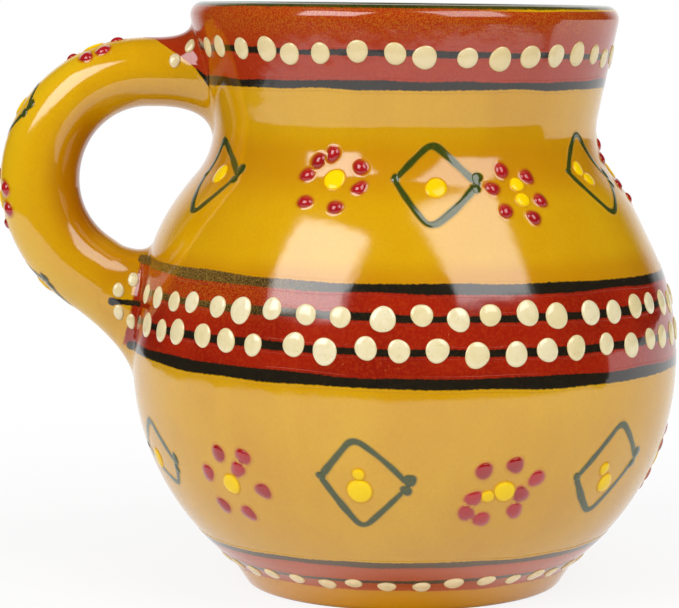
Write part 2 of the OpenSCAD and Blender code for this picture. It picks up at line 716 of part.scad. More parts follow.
// Red carried from the rim onto the upper root, narrowing along the handle
root_red_angle = 84;
root_red_taper_angle = 80;
root_red_from_share = 0.2;
root_red_to_share = 1;
root_red_steps = 8;
root_red_sides = 10;
module handle_root_red() {
    function patch_row(s, lift) =
        let (t = root_red_from_share + (root_red_to_share - root_red_from_share) * s)
        [for (j = [-root_red_sides : root_red_sides])
            let (a = root_red_angle * cos(root_red_taper_angle * s ^ 2) * j / root_red_sides)
            upper_root(a, t) + upper_root_out(a, t) * lift];
    rows = [for (i = [0 : root_red_steps])
        let (s = i / root_red_steps)
        concat(patch_row(s, bead_gap + coat_t), reversed(patch_row(s, bead_gap)))];
    color(slip_red)
        sheet_skin(rows);
}

// Dark lines: thin ones under the beads, wider ones along the edges of the bands
module rim_bead_line() {
    color(slip_dark) line_ring(rim_bead_z, rim_bead_line_w, coat_t, upper_spot);
}

module rim_border_line() {
    color(slip_dark) line_ring(rim_border_z, rim_border_w, 0, upper_spot);
}

module belly_upper_border() {
    color(slip_dark) line_ring(belly_upper_z, belly_border_w, 0, lower_spot);
}

module belly_lower_border() {
    color(slip_dark) line_ring(belly_lower_z, belly_border_w, 0, lower_spot);
}

module belly_upper_bead_line() {
    color(slip_dark) line_ring(belly_upper_bead_z, belly_bead_line_w, coat_t, lower_spot);
}

module belly_lower_bead_line() {
    color(slip_dark) line_ring(belly_lower_bead_z, belly_bead_line_w, coat_t, lower_spot);
}

module foot_border_line() {
    color(slip_dark)
        painted_ring(foot_border_z - foot_border_w / 2, foot_border_z + foot_border_w / 2, 0, line_t);
}

module foot_bead_line() {
    color(slip_dark)
        painted_ring(
            foot_bead_z - foot_bead_line_w / 2,
            foot_bead_z + foot_bead_line_w / 2,
            coat_t,
            line_t
        );
}

// Cream beads in rows round the pot, and the few that run onto the roots of the handle
module rim_beads() {
    color(slip_cream)
        bead_row(rim_bead_z, rim_bead_count, rim_bead_angle, rim_bead_r, upper_spot, 11);
}

module belly_upper_beads() {
    color(slip_cream)
        bead_row(
            belly_upper_bead_z,
            belly_bead_count,
            belly_upper_bead_angle,
            belly_bead_r,
            lower_spot,
            23
        );
}

module belly_lower_beads() {
    color(slip_cream)
        bead_row(
            belly_lower_bead_z,
            belly_bead_count,
            belly_lower_bead_angle,
            belly_bead_r,
            lower_spot,
            37
        );
}

module foot_beads() {
    color(slip_cream)
        bead_row(foot_bead_z, foot_bead_count, foot_bead_angle, foot_bead_r, upper_spot, 41);
}

// Places of the root beads: turns round the handle and shares of the root's run
upper_root_bead_angles = [70, 50];
upper_root_bead_shares = [0.74, 0.38];
lower_root_bead_angles = [96, 116, 73, 76];
lower_root_bead_shares = [0.71, 0.5, 0.6, 0.3];
module handle_root_beads() {
    upper_lift = coat_t + 2 * bead_gap;
    color(slip_cream)
        for (way = [-1, 1]) {
            for (i = [0 : len(upper_root_bead_angles) - 1]) {
                turn = way * upper_root_bead_angles[i];
                run = upper_root_bead_shares[i];
                out = upper_root_out(turn, run);
                stood_bead(upper_root(turn, run), out, upper_lift, root_bead_r, cream_bead_h);
            }
            for (i = [0 : len(lower_root_bead_angles) - 1]) {
                turn = way * lower_root_bead_angles[i];
                run = lower_root_bead_shares[i];
                out = lower_root_out(turn, run);
                stood_bead(lower_root(turn, run), out, bead_gap, root_bead_r, cream_bead_h);
            }
        }
}

// Dot flowers and trailed diamonds between the bands
module shoulder_flower_petals() {
    color(slip_petal) pot_petals(shoulder_flower_angles, shoulder_row_z, shoulder_petal_shares);
}

module shoulder_flower_eyes() {
    color(slip_yellow)
        pot_eyes(
            shoulder_flower_angles,
            shoulder_row_z,
            shoulder_flower_eye_shares,
            petal_ring_r,
            petal_ring_r
        );
}

module shoulder_diamonds() {
    color(slip_green) pot_diamonds(shoulder_diamond_angles, shoulder_row_z, shoulder_corner_shares);
}

module shoulder_diamond_eyes() {
    color(slip_yellow)
        pot_eyes(
            shoulder_diamond_angles,
            shoulder_row_z,
            shoulder_diamond_eye_shares,
            diamond_half_w,
            diamond_half_h
        );
}

module lower_flower_petals() {
    color(slip_petal) pot_petals(lower_flower_angles, lower_flower_row_z, lower_petal_shares);
}

module lower_flower_eyes() {
    color(slip_yellow)
        pot_eyes(
            lower_flower_angles,
            lower_flower_row_z,
            lower_flower_eye_shares,
            petal_ring_r,
            petal_ring_r
        );
}

module lower_diamonds() {
    color(slip_green) pot_diamonds(lower_diamond_angles, lower_diamond_row_z, lower_corner_shares);
}

module lower_diamond_eyes() {
    color(slip_yellow)
        pot_eyes(
            lower_diamond_angles,
            lower_diamond_row_z,
            lower_diamond_eye_shares,
            diamond_half_w,
            diamond_half_h
        );
}

// The same motifs down the back of the handle
module handle_flower_petals() {
    color(slip_petal)
        for (i = [0 : len(handle_flower_runs) - 1])
            handle_petals(handle_flower_runs[i], i + 15);
}

module handle_flower_eyes() {
    color(slip_yellow) handle_eyes(handle_flower_runs);
}

module handle_diamonds() {
    color(slip_green)
        for (i = [0 : len(handle_diamond_runs) - 1]) {
            outline = diamond_outline(
                handle_diamond_half_w,
                handle_diamond_half_h,
                form(shoulder_corner_shares, i + 1)
            );
            places = [for (p = outline) [handle_diamond_runs[i] + p[1], p[0]]];
            trail(
                [for (p = places) back_point(p[0], p[1])],
                [for (p = places) back_out(p[0], p[1])]
            );
        }
}

module handle_diamond_eyes() {
    color(slip_yellow) handle_eyes(handle_diamond_runs);
}

pot_body();
handle();
rim_red_band();
belly_red_band();
foot_red_band();
lip_green_band();
handle_root_red();
rim_bead_line();
rim_border_line();
belly_upper_border();
belly_lower_border();
belly_upper_bead_line();
belly_lower_bead_line();
foot_border_line();
foot_bead_line();
rim_beads();
belly_upper_beads();
belly_lower_beads();
foot_beads();
handle_root_beads();
shoulder_flower_petals();
shoulder_flower_eyes();
shoulder_diamonds();
shoulder_diamond_eyes();
lower_flower_petals();
lower_flower_eyes();
lower_diamonds();
lower_diamond_eyes();
handle_flower_petals();
handle_flower_eyes();
handle_diamonds();
handle_diamond_eyes();
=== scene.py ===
import math
from collections import namedtuple
from functools import partial

import bmesh
import bpy
import numpy as np
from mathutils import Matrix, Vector
from mathutils.bvhtree import BVHTree


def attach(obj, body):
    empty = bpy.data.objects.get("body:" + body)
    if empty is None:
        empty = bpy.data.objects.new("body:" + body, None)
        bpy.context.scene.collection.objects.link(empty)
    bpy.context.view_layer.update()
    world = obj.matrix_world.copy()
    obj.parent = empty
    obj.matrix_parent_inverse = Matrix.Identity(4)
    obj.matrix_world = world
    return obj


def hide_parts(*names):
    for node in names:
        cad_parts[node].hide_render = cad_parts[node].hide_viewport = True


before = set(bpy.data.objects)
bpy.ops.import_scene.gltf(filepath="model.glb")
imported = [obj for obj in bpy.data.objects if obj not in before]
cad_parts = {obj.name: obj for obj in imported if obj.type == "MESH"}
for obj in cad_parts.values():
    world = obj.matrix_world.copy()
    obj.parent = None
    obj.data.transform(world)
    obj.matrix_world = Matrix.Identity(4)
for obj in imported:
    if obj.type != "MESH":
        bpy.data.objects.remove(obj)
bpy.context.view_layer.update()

# Painted clay mug: a glazed pot with slip bands, lines, beads, dot flowers and trailed diamonds.
# Lengths are in millimetres until a mesh is made. Angles round the pot start at the front (-Y)
# and grow towards +X, so the handle is at a quarter turn below zero.

MM = 0.001
PI = math.pi
RNG = np.random.default_rng(7)

# Pot
MUG_H = 102.0
LIP_R = 37.2
RIM_LEAN = math.radians(11.5)
BELLY_R = 47.7
BELLY_Z = 39.8
SHOULDER_ROUND = 51.3
NECK_ROUND = 12.0
WALL_T = 4.6
FLOOR_T = 7.0
FLOOR_ROUND = 10.0
FOOT_R = 27.4
FOOT_TOP_R = 30.4
FOOT_H = 4.6
FOOT_ROUND = 1.8
FOOT_RING_W = 6.0
FOOT_HOLLOW = 1.2

# Stray from round: oval, three-sided, and the height and the radius from which it is full
OVAL = 0.12
THREE_SIDED = 0.08
STRAY_FULL_Z = 14
STRAY_FULL_R = 20
# A flat and a swell of the wall: how far out, and the middle and reach as turns and as heights
FLAT_SIDE = (-0.5, PI / 2, 0.8, 62, 6)
FULL_SIDE = (0.7, -PI / 2, 0.7, 64, 9)
# How far the rim dips, and the heights over which that grows
RIM_DIP = 0.4
RIM_DIP_Z = (84, 101)

# Handle
HANDLE_STAND = 16.0
HANDLE_T = 13.8
HANDLE_UPPER_T = 12.0
HANDLE_W = 14.0
HANDLE_DIP = math.radians(35)
ROOT_SIDE_SPREAD = 2.0
ROOT_RIM_SPREAD = 3.4
ROOT_NECK_SPREAD = 5.5
ROOT_SHOULDER_SPREAD = 3.0
ROOT_BELLY_SPREAD = 6.5
ROOT_RUN = 8.0
ROOT_DROP = 2.8
ROOT_RISE = 0.3
ROOT_SINK = 0.03
ROOT_DEPTH = 1.2

# Painted lines: the lean is the fall from the middle to the right, and the seed sets the waver
Line = namedtuple("Line", "z width lean seed")
RIM_BEAD_LINE = Line(93.9, 1.1, 0.6, 1)
RIM_BORDER = Line(88.5, 1.5, 0.25, 2)
BELLY_UPPER = Line(56.35, 1.7, 1.0, 6)
BELLY_LOWER = Line(41.45, 1.9, 1.1, 5)
BELLY_UPPER_BEADS = Line(51.8, 1.3, 0.85, 10)
BELLY_LOWER_BEADS = Line(46.4, 1.3, 1.0, 11)
FOOT_BORDER = Line(9.5, 1.4, 0.0, 8)
FOOT_BEAD_LINE = Line(6.0, 1.0, 0.0, 13)
# The foot band's low edge: height and seed
FOOT_BAND_LOW = (4.0, 9)
# Edges on the lip's round: angle, share of the waver and seed
LIP_RED_HIGH = (math.radians(62), 0.5, 4)
LIP_GREEN_LOW = (math.radians(47), 0.5, 3)
LIP_GREEN_HIGH = (math.radians(168), 1.0, 12)
# Turns over which gold comes and goes below the lip's green
LIP_GOLD_TURN = (0.25, 0.6, 1.5, 1.9)

# Thickness of the paint, how far its soft edge reaches, and how deep its rim and its underside are sunk
RED_COAT = 0.035
DARK_COAT = 0.06
SOFT_EDGE = 0.45
PAINT_SINK = 0.02
PAINT_DEPTH = 0.4
# Width of a strip's sunk edge, and about how far its points stand apart
EDGE_W = 0.03
STRIP_STEP = 0.3

# Points round the pot, the handle and a bead
SEGMENTS = 320
HANDLE_SIDES = 72
BEAD_SIDES = 28
# Rings along the stretches of the pot's outline
HOLLOW_RINGS = 8
STAND_RINGS = 2
FOOT_EDGE_RINGS = 9
WALL_RINGS = 170
LIP_RINGS = 19
FLOOR_EDGE_RINGS = 12
FLOOR_RINGS = 8
# Rings along a root, as shares of its run, and along the bends
ROOT_SHARES = np.concatenate([[0, 0.006, 0.012], np.linspace(0.03, 1, 26)])
UPPER_BEND_RINGS = 30
LOWER_BEND_RINGS = 22


def smooth(low, high, x):
    """A smooth rise from 0 at low to 1 at high."""
    t = np.clip((np.asarray(x, float) - low) / (high - low), 0, 1)
    return t * t * (3 - 2 * t)


def edged(low, high, close, count):
    """Even steps with two more close to either end, which keep a sunk edge narrow."""
    level = np.linspace(low + 2 * close, high - 2 * close, count)
    return np.concatenate([[low, low + close], level, [high - close, high]])


def once_round(count, start=0.0):
    return np.linspace(start, start + 2 * PI, count, endpoint=False)


def wrapped(angle):
    """An angle brought to within half a turn of zero."""
    return (angle + PI) % (2 * PI) - PI


def unit(vectors):
    return vectors / np.linalg.norm(vectors, axis=-1, keepdims=True)


def matched(*values):
    """Values as arrays of one shape."""
    return np.broadcast_arrays(*(np.asarray(v, float) for v in values))


def arc(centre, radius, start, stop, steps):
    angles = np.linspace(start, stop, steps)
    return np.stack([centre[0] + radius * np.cos(angles), centre[1] + radius * np.sin(angles)], 1)


# Outline of the pot
lip_round = WALL_T / 2
lip_z = MUG_H - lip_round * (1 + math.sin(RIM_LEAN))
rim_out = np.array([math.cos(RIM_LEAN), -math.sin(RIM_LEAN)])
rim_down = np.array([-math.sin(RIM_LEAN), -math.cos(RIM_LEAN)])
lip_edge = np.array([LIP_R, lip_z])
lip_c = lip_edge - lip_round * rim_out
belly_in = BELLY_R - FOOT_TOP_R
lower_round = (belly_in ** 2 + (BELLY_Z - FOOT_H) ** 2) / (2 * belly_in)
lower_c = np.array([BELLY_R - lower_round, BELLY_Z])
shoulder_c = np.array([BELLY_R - SHOULDER_ROUND, BELLY_Z])
neck_reach = SHOULDER_ROUND + NECK_ROUND
neck_from = lip_edge + NECK_ROUND * rim_out - shoulder_c
neck_fall = neck_from @ rim_down
neck_slide = -neck_fall - math.sqrt(neck_fall ** 2 - neck_from @ neck_from + neck_reach ** 2)
neck_c = shoulder_c + neck_from + neck_slide * rim_down
shoulder_end_z = BELLY_Z + (neck_c[1] - BELLY_Z) * SHOULDER_ROUND / neck_reach
neck_end_z = neck_c[1] - NECK_ROUND * rim_out[1]
foot_slope = (FOOT_TOP_R - FOOT_R) / FOOT_H
foot_out = np.array([1, -foot_slope]) / math.hypot(1, foot_slope)
foot_edge_c = np.array([FOOT_R - FOOT_ROUND * (1 + foot_out[1]) / foot_out[0], FOOT_ROUND])
foot_edge_z = FOOT_ROUND * (1 + foot_out[1])
hollow_r = foot_edge_c[0] - FOOT_RING_W
inner_round = lower_round - WALL_T
floor_c_z = FLOOR_T + FLOOR_ROUND
floor_c = np.array([
    lower_c[0] + math.sqrt((inner_round - FLOOR_ROUND) ** 2 - (BELLY_Z - floor_c_z) ** 2),
    floor_c_z,
])
floor_end = math.atan2(floor_c[1] - lower_c[1], floor_c[0] - lower_c[0])


def wall_r(z):
    """Radius of the wall's outside at a height."""
    z = np.asarray(z, float)
    above_belly = (z - BELLY_Z) ** 2
    lower = lower_c[0] + np.sqrt(np.maximum(lower_round ** 2 - above_belly, 0))
    shoulder = shoulder_c[0] + np.sqrt(np.maximum(SHOULDER_ROUND ** 2 - above_belly, 0))
    neck = neck_c[0] - np.sqrt(np.maximum(NECK_ROUND ** 2 - (z - neck_c[1]) ** 2, 0))
    rim = LIP_R - (lip_z - z) * math.tan(RIM_LEAN)
    stretches = [z < FOOT_H, z < BELLY_Z, z < shoulder_end_z, z < neck_end_z]
    return np.select(stretches, [FOOT_R + foot_slope * z, lower, shoulder, neck], rim)


def turned_out(path):
    """Outward directions along a path of (radius, height) points that runs up the outside."""
    along = np.gradient(path, axis=0)
    return unit(np.stack([along[:, 1], -along[:, 0]], 1))


# The outside as one path from the foot's edge over the lip, with the run along it
wall_heights = np.linspace(foot_edge_z, lip_z, WALL_RINGS)
wall_path = np.stack([wall_r(wall_heights), wall_heights], 1)
foot_path = arc(foot_edge_c, FOOT_ROUND, -PI / 2, math.atan2(foot_out[1], foot_out[0]), FOOT_EDGE_RINGS)
lip_path = arc(lip_c, lip_round, -RIM_LEAN, PI - RIM_LEAN, LIP_RINGS)
outside = np.concatenate([foot_path[:-1], wall_path, lip_path[1:]])
outside_out = turned_out(outside)
outside_run = np.append(0, np.cumsum(np.linalg.norm(np.diff(outside, axis=0), axis=1)))
wall_run = outside_run[FOOT_EDGE_RINGS - 1:][:WALL_RINGS]
theta_round = once_round(SEGMENTS, -PI)


def run_at(z):
    """Run along the outside at a height of the wall."""
    return np.interp(z, wall_heights, wall_run)


def bulge(form, theta, z):
    out, turn, turn_reach, height, height_reach = form
    return out * np.exp(-((theta - turn) / turn_reach) ** 2 - ((z - height) / height_reach) ** 2)


def hand(theta, z):
    """How far the thrown wall strays from round, which the foot doesn't."""
    stray = OVAL * np.sin(2 * theta + 0.7) + THREE_SIDED * np.sin(3 * theta - 0.05 * z)
    return stray * smooth(0, STRAY_FULL_Z, z) + bulge(FLAT_SIDE, theta, z) + bulge(FULL_SIDE, theta, z)


def rim_tilt(theta, z):
    """How far the rim dips, most of all on its right."""
    return -RIM_DIP * (1 + np.sin(theta)) * smooth(*RIM_DIP_Z, z)


def on_pot(theta, run, lift):
    """Points on the outside at angles and runs, lifted off it."""
    theta, run, lift = matched(theta, run, lift)
    theta = wrapped(theta)
    r, z = (np.interp(run, outside_run, outside[:, k]) for k in (0, 1))
    out_r, out_z = (np.interp(run, outside_run, outside_out[:, k]) for k in (0, 1))
    r = r + hand(theta, z) + lift * out_r
    z = z + rim_tilt(theta, z) + lift * out_z
    return np.stack([r * np.sin(theta), -r * np.cos(theta), z], -1)


# Meshes


def grid_faces(rows, columns, wrap_rows, wrap_columns):
    i = np.arange(rows if wrap_rows else rows - 1)
    j = np.arange(columns if wrap_columns else columns - 1)
    i, j = (v.ravel() for v in np.meshgrid(i, j, indexing="ij"))
    next_i = (i + 1) % rows
    next_j = (j + 1) % columns
    corners = [i * columns + j, i * columns + next_j, next_i * columns + next_j, next_i * columns + j]
    return np.stack(corners, 1).tolist()


def linked(name, data):
    obj = bpy.data.objects.new(name, data)
    bpy.context.scene.collection.objects.link(obj)
    return obj


class Build:
    """Gathers points, faces and per-point values of one piece."""

    def __init__(self):
        self.points = []
        self.faces = []
        self.values = {}
        self.count = 0

    def add(self, points, faces, **values):
        points = np.asarray(points, float).reshape(-1, 3)
        self.points.append(points)
        self.faces += [[k + self.count for k in face] for face in faces]
        for key, value in values.items():
            spread = np.broadcast_to(np.asarray(value, float).ravel(), len(points))
            self.values.setdefault(key, []).append(spread)
        self.count += len(points)

    def add_tube(self, rings, poles, **values):
        """Rings that are closed at a pole on either end."""
        rows, sides = rings.shape[:2]
        count = rows * sides
        faces = grid_faces(rows, sides, False, True)
        for first, pole in ((0, count), (count - sides, count + 1)):
            ring = list(range(first, first + sides))
            faces += [[pole, a, b] for a, b in zip(ring, ring[1:] + ring[:1])]
        self.add(np.concatenate([rings.reshape(-1, 3), poles]), faces, **values)

    def mesh(self, name):
        mesh = bpy.data.meshes.new(name)
        mesh.from_pydata((np.concatenate(self.points) * MM).tolist(), [], self.faces)
        for key, value in self.values.items():
            layer = mesh.attributes.new(key, "FLOAT", "POINT")
            layer.data.foreach_set("value", np.concatenate(value).astype(np.float32))
        bm = bmesh.new()
        bm.from_mesh(mesh)
        bmesh.ops.recalc_face_normals(bm, faces=bm.faces)
        bm.to_mesh(mesh)
        bm.free()
        mesh.shade_smooth()
        return mesh

    def piece(self, name, material, slot, *nodes):
        obj = linked(name, self.mesh(name))
        obj.data.materials.append(material)
        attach(obj, "root")
        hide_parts(*nodes)
        return obj


# Node graphs


def tint(red, green, blue):
    """A screen colour from 0 to 255 as the linear colour that a node takes."""
    screen = (red / 255, green / 255, blue / 255)
    linear = [c / 12.92 if c <= 0.04045 else ((c + 0.055) / 1.055) ** 2.4 for c in screen]
    return (*linear, 1.0)


class Graph:
    """Adds nodes to a tree and joins them."""

    def __init__(self, tree):
        self.tree = tree

    def add(self, kind, inputs=None, **settings):
        node = self.tree.nodes.new("ShaderNode" + kind)
        for key, value in settings.items():
            setattr(node, key, value)
        for key, value in (inputs or {}).items():
            self.put(node.inputs[key], value)
        return node

    def put(self, socket, value):
        if isinstance(value, bpy.types.NodeSocket):
            self.tree.links.new(value, socket)
        else:
            socket.default_value = value

    def place(self):
        return self.add("TexCoord").outputs["Object"]

    def parts(self, vector):
        return self.add("SeparateXYZ", {0: vector}).outputs

    def length(self, vector):
        return self.add("VectorMath", {0: vector}, operation="LENGTH").outputs["Value"]

    def along(self, axis):
        """Where a point lies along an axis, in millimetres."""
        return self.times(self.parts(self.place())[axis], 1 / MM)

    def height(self):
        return self.along(2)

    def rise(self, low, high):
        """A share that comes in between two heights."""
        return self.step(low, high, self.height())

    def value(self, name):
        return self.add("Attribute", attribute_name=name).outputs["Fac"]

    def math(self, operation, a, b=0.0):
        return self.add("Math", {0: a, 1: b}, operation=operation).outputs[0]

    def times(self, a, b):
        return self.math("MULTIPLY", a, b)

    def most(self, a, b):
        return self.math("MAXIMUM", a, b)

    def step(self, low, high, value):
        inputs = {"Value": value, "From Min": low, "From Max": high}
        return self.add("MapRange", inputs, interpolation_type="SMOOTHSTEP").outputs[0]

    def zone(self, value, low, full, last, high):
        """A rise from low to full, and a fall from last to high."""
        return self.times(self.step(low, full, value), self.step(high, last, value))

    def spread(self, low, high, value):
        inputs = {"Value": value, "To Min": low, "To Max": high}
        return self.add("MapRange", inputs).outputs[0]

    def noise(self, size_mm, detail=3.0, stretch=None):
        """Noise whose features are about that many millimetres wide."""
        place = self.place()
        if stretch:
            place = self.add("Mapping", {"Vector": place, "Scale": stretch}).outputs[0]
        inputs = {"Vector": place, "Scale": 1 / (size_mm * MM), "Detail": detail, "Roughness": 0.55}
        return self.add("TexNoise", inputs).outputs["Fac"]

    def patches(self, size_mm, low, high, **noise):
        """Patches of noise, which come in between two of its levels."""
        return self.step(low, high, self.noise(size_mm, **noise))

    def cells(self, size_mm):
        inputs = {"Vector": self.place(), "Scale": 1 / (size_mm * MM)}
        return self.add("TexVoronoi", inputs).outputs["Distance"]

    def mix(self, share, a, b):
        node = self.add("Mix", data_type="RGBA")
        for index, value in ((0, share), (6, a), (7, b)):
            self.put(node.inputs[index], value)
        return node.outputs[2]

    def layers(self, colour, **layers):
        """A colour under named layers, each with its share, its strength and its own colour."""
        for share, strength, own in layers.values():
            colour = self.mix(self.times(share, strength), colour, tint(*own))
        return colour

    def blend(self, share, first, second):
        """Two screen colours mixed by a share."""
        return self.mix(share, tint(*first), tint(*second))


# Colours of the glaze and the slips, the same wherever two pieces meet

# Heights of painted shade just under the neck, and of a darker band above the belly band, which is partly
# glaze pooled beside the line and partly painted shade
NECK_SHADE_Z = (68, 74.5, 76.5, 82)
BORDER_POOL_AND_SHADE_Z = (50, 55, 57.5, 61.5)
# Where the slip was brushed thin: the upper belly band on the front left
WORN_X = (-50, -46, -36, -8)
WORN_Z = (49, 55, 62, 66)


def gold(g):
    pool = g.most(g.zone(g.height(), *NECK_SHADE_Z), g.zone(g.height(), *BORDER_POOL_AND_SHADE_Z))
    pool = g.times(pool, g.math("SUBTRACT", 1.0, g.value("arm")))
    speck = g.times(g.step(0.045, 0.025, g.cells(5.5)), g.patches(14, 0.5, 0.62))
    return g.layers(
        g.blend(g.patches(26, 0.32, 0.7), (214, 161, 6), (206, 150, 3)),
        streak=(g.patches(9, 0.35, 0.7, stretch=(1, 1, 0.35)), 0.35, (220, 171, 14)),
        grain=(g.patches(0.45, 0.35, 0.75, detail=2), 0.14, (176, 116, 4)),
        # Painted shade just under the neck; above the belly band, pooled glaze beside the line and painted
        # shade together
        pool=(pool, 0.5, (185, 112, 2)),
        # Painted shade: the gold is tinted a deeper orange low on the foot, under the belly
        foot=(g.rise(9, 4), 0.7, (222, 150, 4)),
        # Painted shade on the handle's inner side, which faces the pot, and painted light on its outer side
        inner=(g.step(0, 0.9, g.value("inward")), 0.85, (168, 96, 2)),
        outer=(g.step(0, -0.9, g.value("inward")), 0.6, (228, 184, 20)),
        speck=(speck, 0.5, (120, 66, 8)),
    )


def worn_side(g):
    return g.times(g.zone(g.along(0), *WORN_X), g.zone(g.height(), *WORN_Z))


def bright_specks(g):
    return g.times(g.step(0.07, 0.03, g.cells(1.5)), g.patches(5, 0.5, 0.6))


def red(g):
    dusty = g.spread(0.0, 0.75, g.most(worn_side(g), g.rise(94, 99)))
    return g.layers(
        g.blend(g.patches(12, 0.3, 0.7), (160, 30, 7), (142, 24, 5)),
        rim=(g.rise(82, 92), 0.75, (168, 50, 12)),
        foot=(g.rise(11, 8), 0.7, (202, 100, 40)),
        grain=(g.patches(0.5, 0.42, 0.66, detail=2), 0.28, (184, 66, 16)),
        dust=(g.patches(0.24, 0.4, 0.66, detail=1), dusty, (186, 104, 22)),
        speck=(bright_specks(g), 0.6, (214, 150, 90)),
    )


def dark(g):
    worn = worn_side(g)
    return g.layers(
        g.blend(g.noise(3), (18, 16, 11), (30, 26, 18)),
        # Lighter brown where the slip was brushed thin on the front left, and lighter brown low on the foot
        thin=(g.most(worn, g.rise(12, 10)), 0.55, (112, 82, 28)),
        grain=(g.patches(0.24, 0.42, 0.66, detail=1), g.spread(0.04, 0.6, worn), (168, 132, 60)),
        speck=(bright_specks(g), 0.5, (170, 160, 140)),
    )


def cream(g):
    pit = g.times(g.step(0.2, 0.1, g.cells(0.6)), g.patches(1.8, 0.52, 0.6))
    return g.layers(
        g.blend(g.value("tone"), (236, 224, 186), (229, 212, 160)),
        high=(g.rise(84, 88), 0.5, (222, 196, 140)),
        # Painted light: the beads low on the foot are lightened against the shade under the belly
        low=(g.rise(12, 9), 0.9, (253, 230, 178)),
        cloud=(g.patches(1.3, 0.42, 0.7), 0.45, (222, 204, 146)),
        rim=(g.step(-0.16, 0.0, g.value("edge")), 0.6, (204, 164, 84)),
        pit=(pit, 0.5, (140, 112, 64)),
    )


def petal(g):
    colour = g.blend(g.value("tone"), (174, 18, 26), (146, 10, 16))
    return g.layers(colour, cloud=(g.noise(0.8), 0.3, (192, 52, 50)))


def yellow(g):
    colour = g.blend(g.value("tone"), (248, 210, 6), (240, 198, 4))
    return g.layers(colour, rim=(g.step(-0.12, 0.03, g.value("edge")), 1.0, (226, 164, 2)))


def green(g):
    colour = g.blend(g.noise(2.5), (46, 60, 12), (66, 76, 22))
    return g.layers(colour, grain=(g.patches(0.4, 0.5, 0.7, detail=1), 0.3, (100, 98, 24)))


def lip(g):
    colour = g.blend(g.patches(7, 0.35, 0.65), (54, 58, 12), (72, 70, 18))
    return g.layers(colour, grain=(g.patches(0.45, 0.5, 0.7, detail=1), 0.45, (108, 88, 22)))


# Ripples, orange-peel and grain of the fired glaze: width, detail and share of the relief
GLAZE_WAVES = ((7, 2, 1.0), (1.2, 2, 0.09), (0.4, 1, 0.03))
GLAZE_BUMP = {"Strength": 0.35, "Distance": 0.00022}
GLAZE_ROUGH = (0.04, 0.13)
GLAZE_ROUGH_MM = 5
GLAZE_IOR = 1.75
# The yellow slip takes less of a shine
YELLOW_IOR = 1.4
# Where a bead's colour starts to bleed and its halo ends, as shares of its soft edge
BLEED_IN = 0.3
HALO_OUT = 1.9


def glaze_normal(g):
    relief = 0.0
    for size_mm, detail, share in GLAZE_WAVES:
        relief = g.math("ADD", relief, g.times(g.noise(size_mm, detail), share))
    return g.add("Bump", {**GLAZE_BUMP, "Height": relief}).outputs[0]


def glazed(name, colour, ior=GLAZE_IOR):
    """A glossy fired glaze over a colour."""
    material = bpy.data.materials.new(name)
    material.use_nodes = True
    graph = Graph(material.node_tree)
    shader = material.node_tree.nodes["Principled BSDF"]
    shader.inputs["IOR"].default_value = ior
    graph.put(shader.inputs["Base Color"], colour(graph))
    graph.put(shader.inputs["Roughness"], graph.spread(*GLAZE_ROUGH, graph.noise(GLAZE_ROUGH_MM)))
    graph.put(shader.inputs["Normal"], glaze_normal(graph))
    return material


def ragged(g, rough_mm, soft_mm):
    """How far a point lies past the paint's edge, from 0 within to 1 outside, with a grainy edge."""
    grain = g.math("SUBTRACT", g.noise(0.5, 2), 0.5)
    past = g.math("ADD", g.value("edge"), g.times(grain, 2 * rough_mm))
    return g.step(-soft_mm, soft_mm, past)


def painted(name, own, below, above, rough_mm=0.22, soft_mm=0.14):
    """A slip whose soft edges pass into the colours below and above it."""
    def colour(g):
        around = g.mix(g.value("upper"), below(g), above(g))
        return g.mix(ragged(g, rough_mm, soft_mm), own(g), around)
    return glazed(name, colour)


def beaded(name, own, halo, halo_share, soft_mm, ior=GLAZE_IOR):
    """A raised bead or trail that bleeds into the gold round it."""
    def colour(g):
        past = g.step(-BLEED_IN * soft_mm, soft_mm, g.value("edge"))
        near = g.step(HALO_OUT * soft_mm, 0, g.value("edge"))
        return g.mix(past, own(g), g.layers(gold(g), halo=(near, halo_share, halo)))
    return glazed(name, colour, ior)


gold_glaze = glazed("gold_glaze", gold)
red_slip = painted("red_slip", red, gold, gold)
root_red_slip = painted("red_slip_on_root", red, gold, gold, rough_mm=0.1, soft_mm=0.2)
dark_on_red = painted("dark_line_on_red", dark, red, red)
dark_over_red = painted("dark_border_over_red", dark, red, gold)
dark_under_red = painted("dark_border_under_red", dark, gold, red)
green_lip = painted("green_lip", lip, red, gold, rough_mm=0.25, soft_mm=0.12)
cream_slip = glazed("cream_slip", cream)
petal_slip = beaded("petal_slip", petal, (176, 60, 20), 0.75, 0.4)
yellow_slip = beaded("yellow_slip", yellow, (214, 140, 6), 0.3, 0.2, YELLOW_IOR)
green_trail = beaded("green_trail", green, (140, 114, 16), 0.6, 0.24)


# The pot


def pot_rings():
    """The whole outline, from under the foot over the lip to the middle of the floor."""
    hollow = np.linspace(0, 1, HOLLOW_RINGS + 1)[1:]
    hollow_path = np.stack([hollow_r * hollow, FOOT_HOLLOW * (1 - hollow ** 2)], 1)
    stand = np.linspace(hollow_r, foot_edge_c[0], STAND_RINGS + 2)[1:-1]
    stand_path = np.stack([stand, np.zeros(STAND_RINGS)], 1)
    inner = (wall_path - WALL_T * turned_out(wall_path))[::-2]
    floor_top = floor_c[1] + FLOOR_ROUND * math.sin(floor_end)
    inner = inner[inner[:, 1] > floor_top]
    floor_edge = arc(floor_c, FLOOR_ROUND, floor_end, -PI / 2, FLOOR_EDGE_RINGS)
    middle = floor_c[0] * np.linspace(1, 0, FLOOR_RINGS + 2)[1:-1]
    floor_path = np.stack([middle, np.full(FLOOR_RINGS, FLOOR_T)], 1)
    return np.concatenate([hollow_path, stand_path, outside, inner, floor_edge, floor_path])


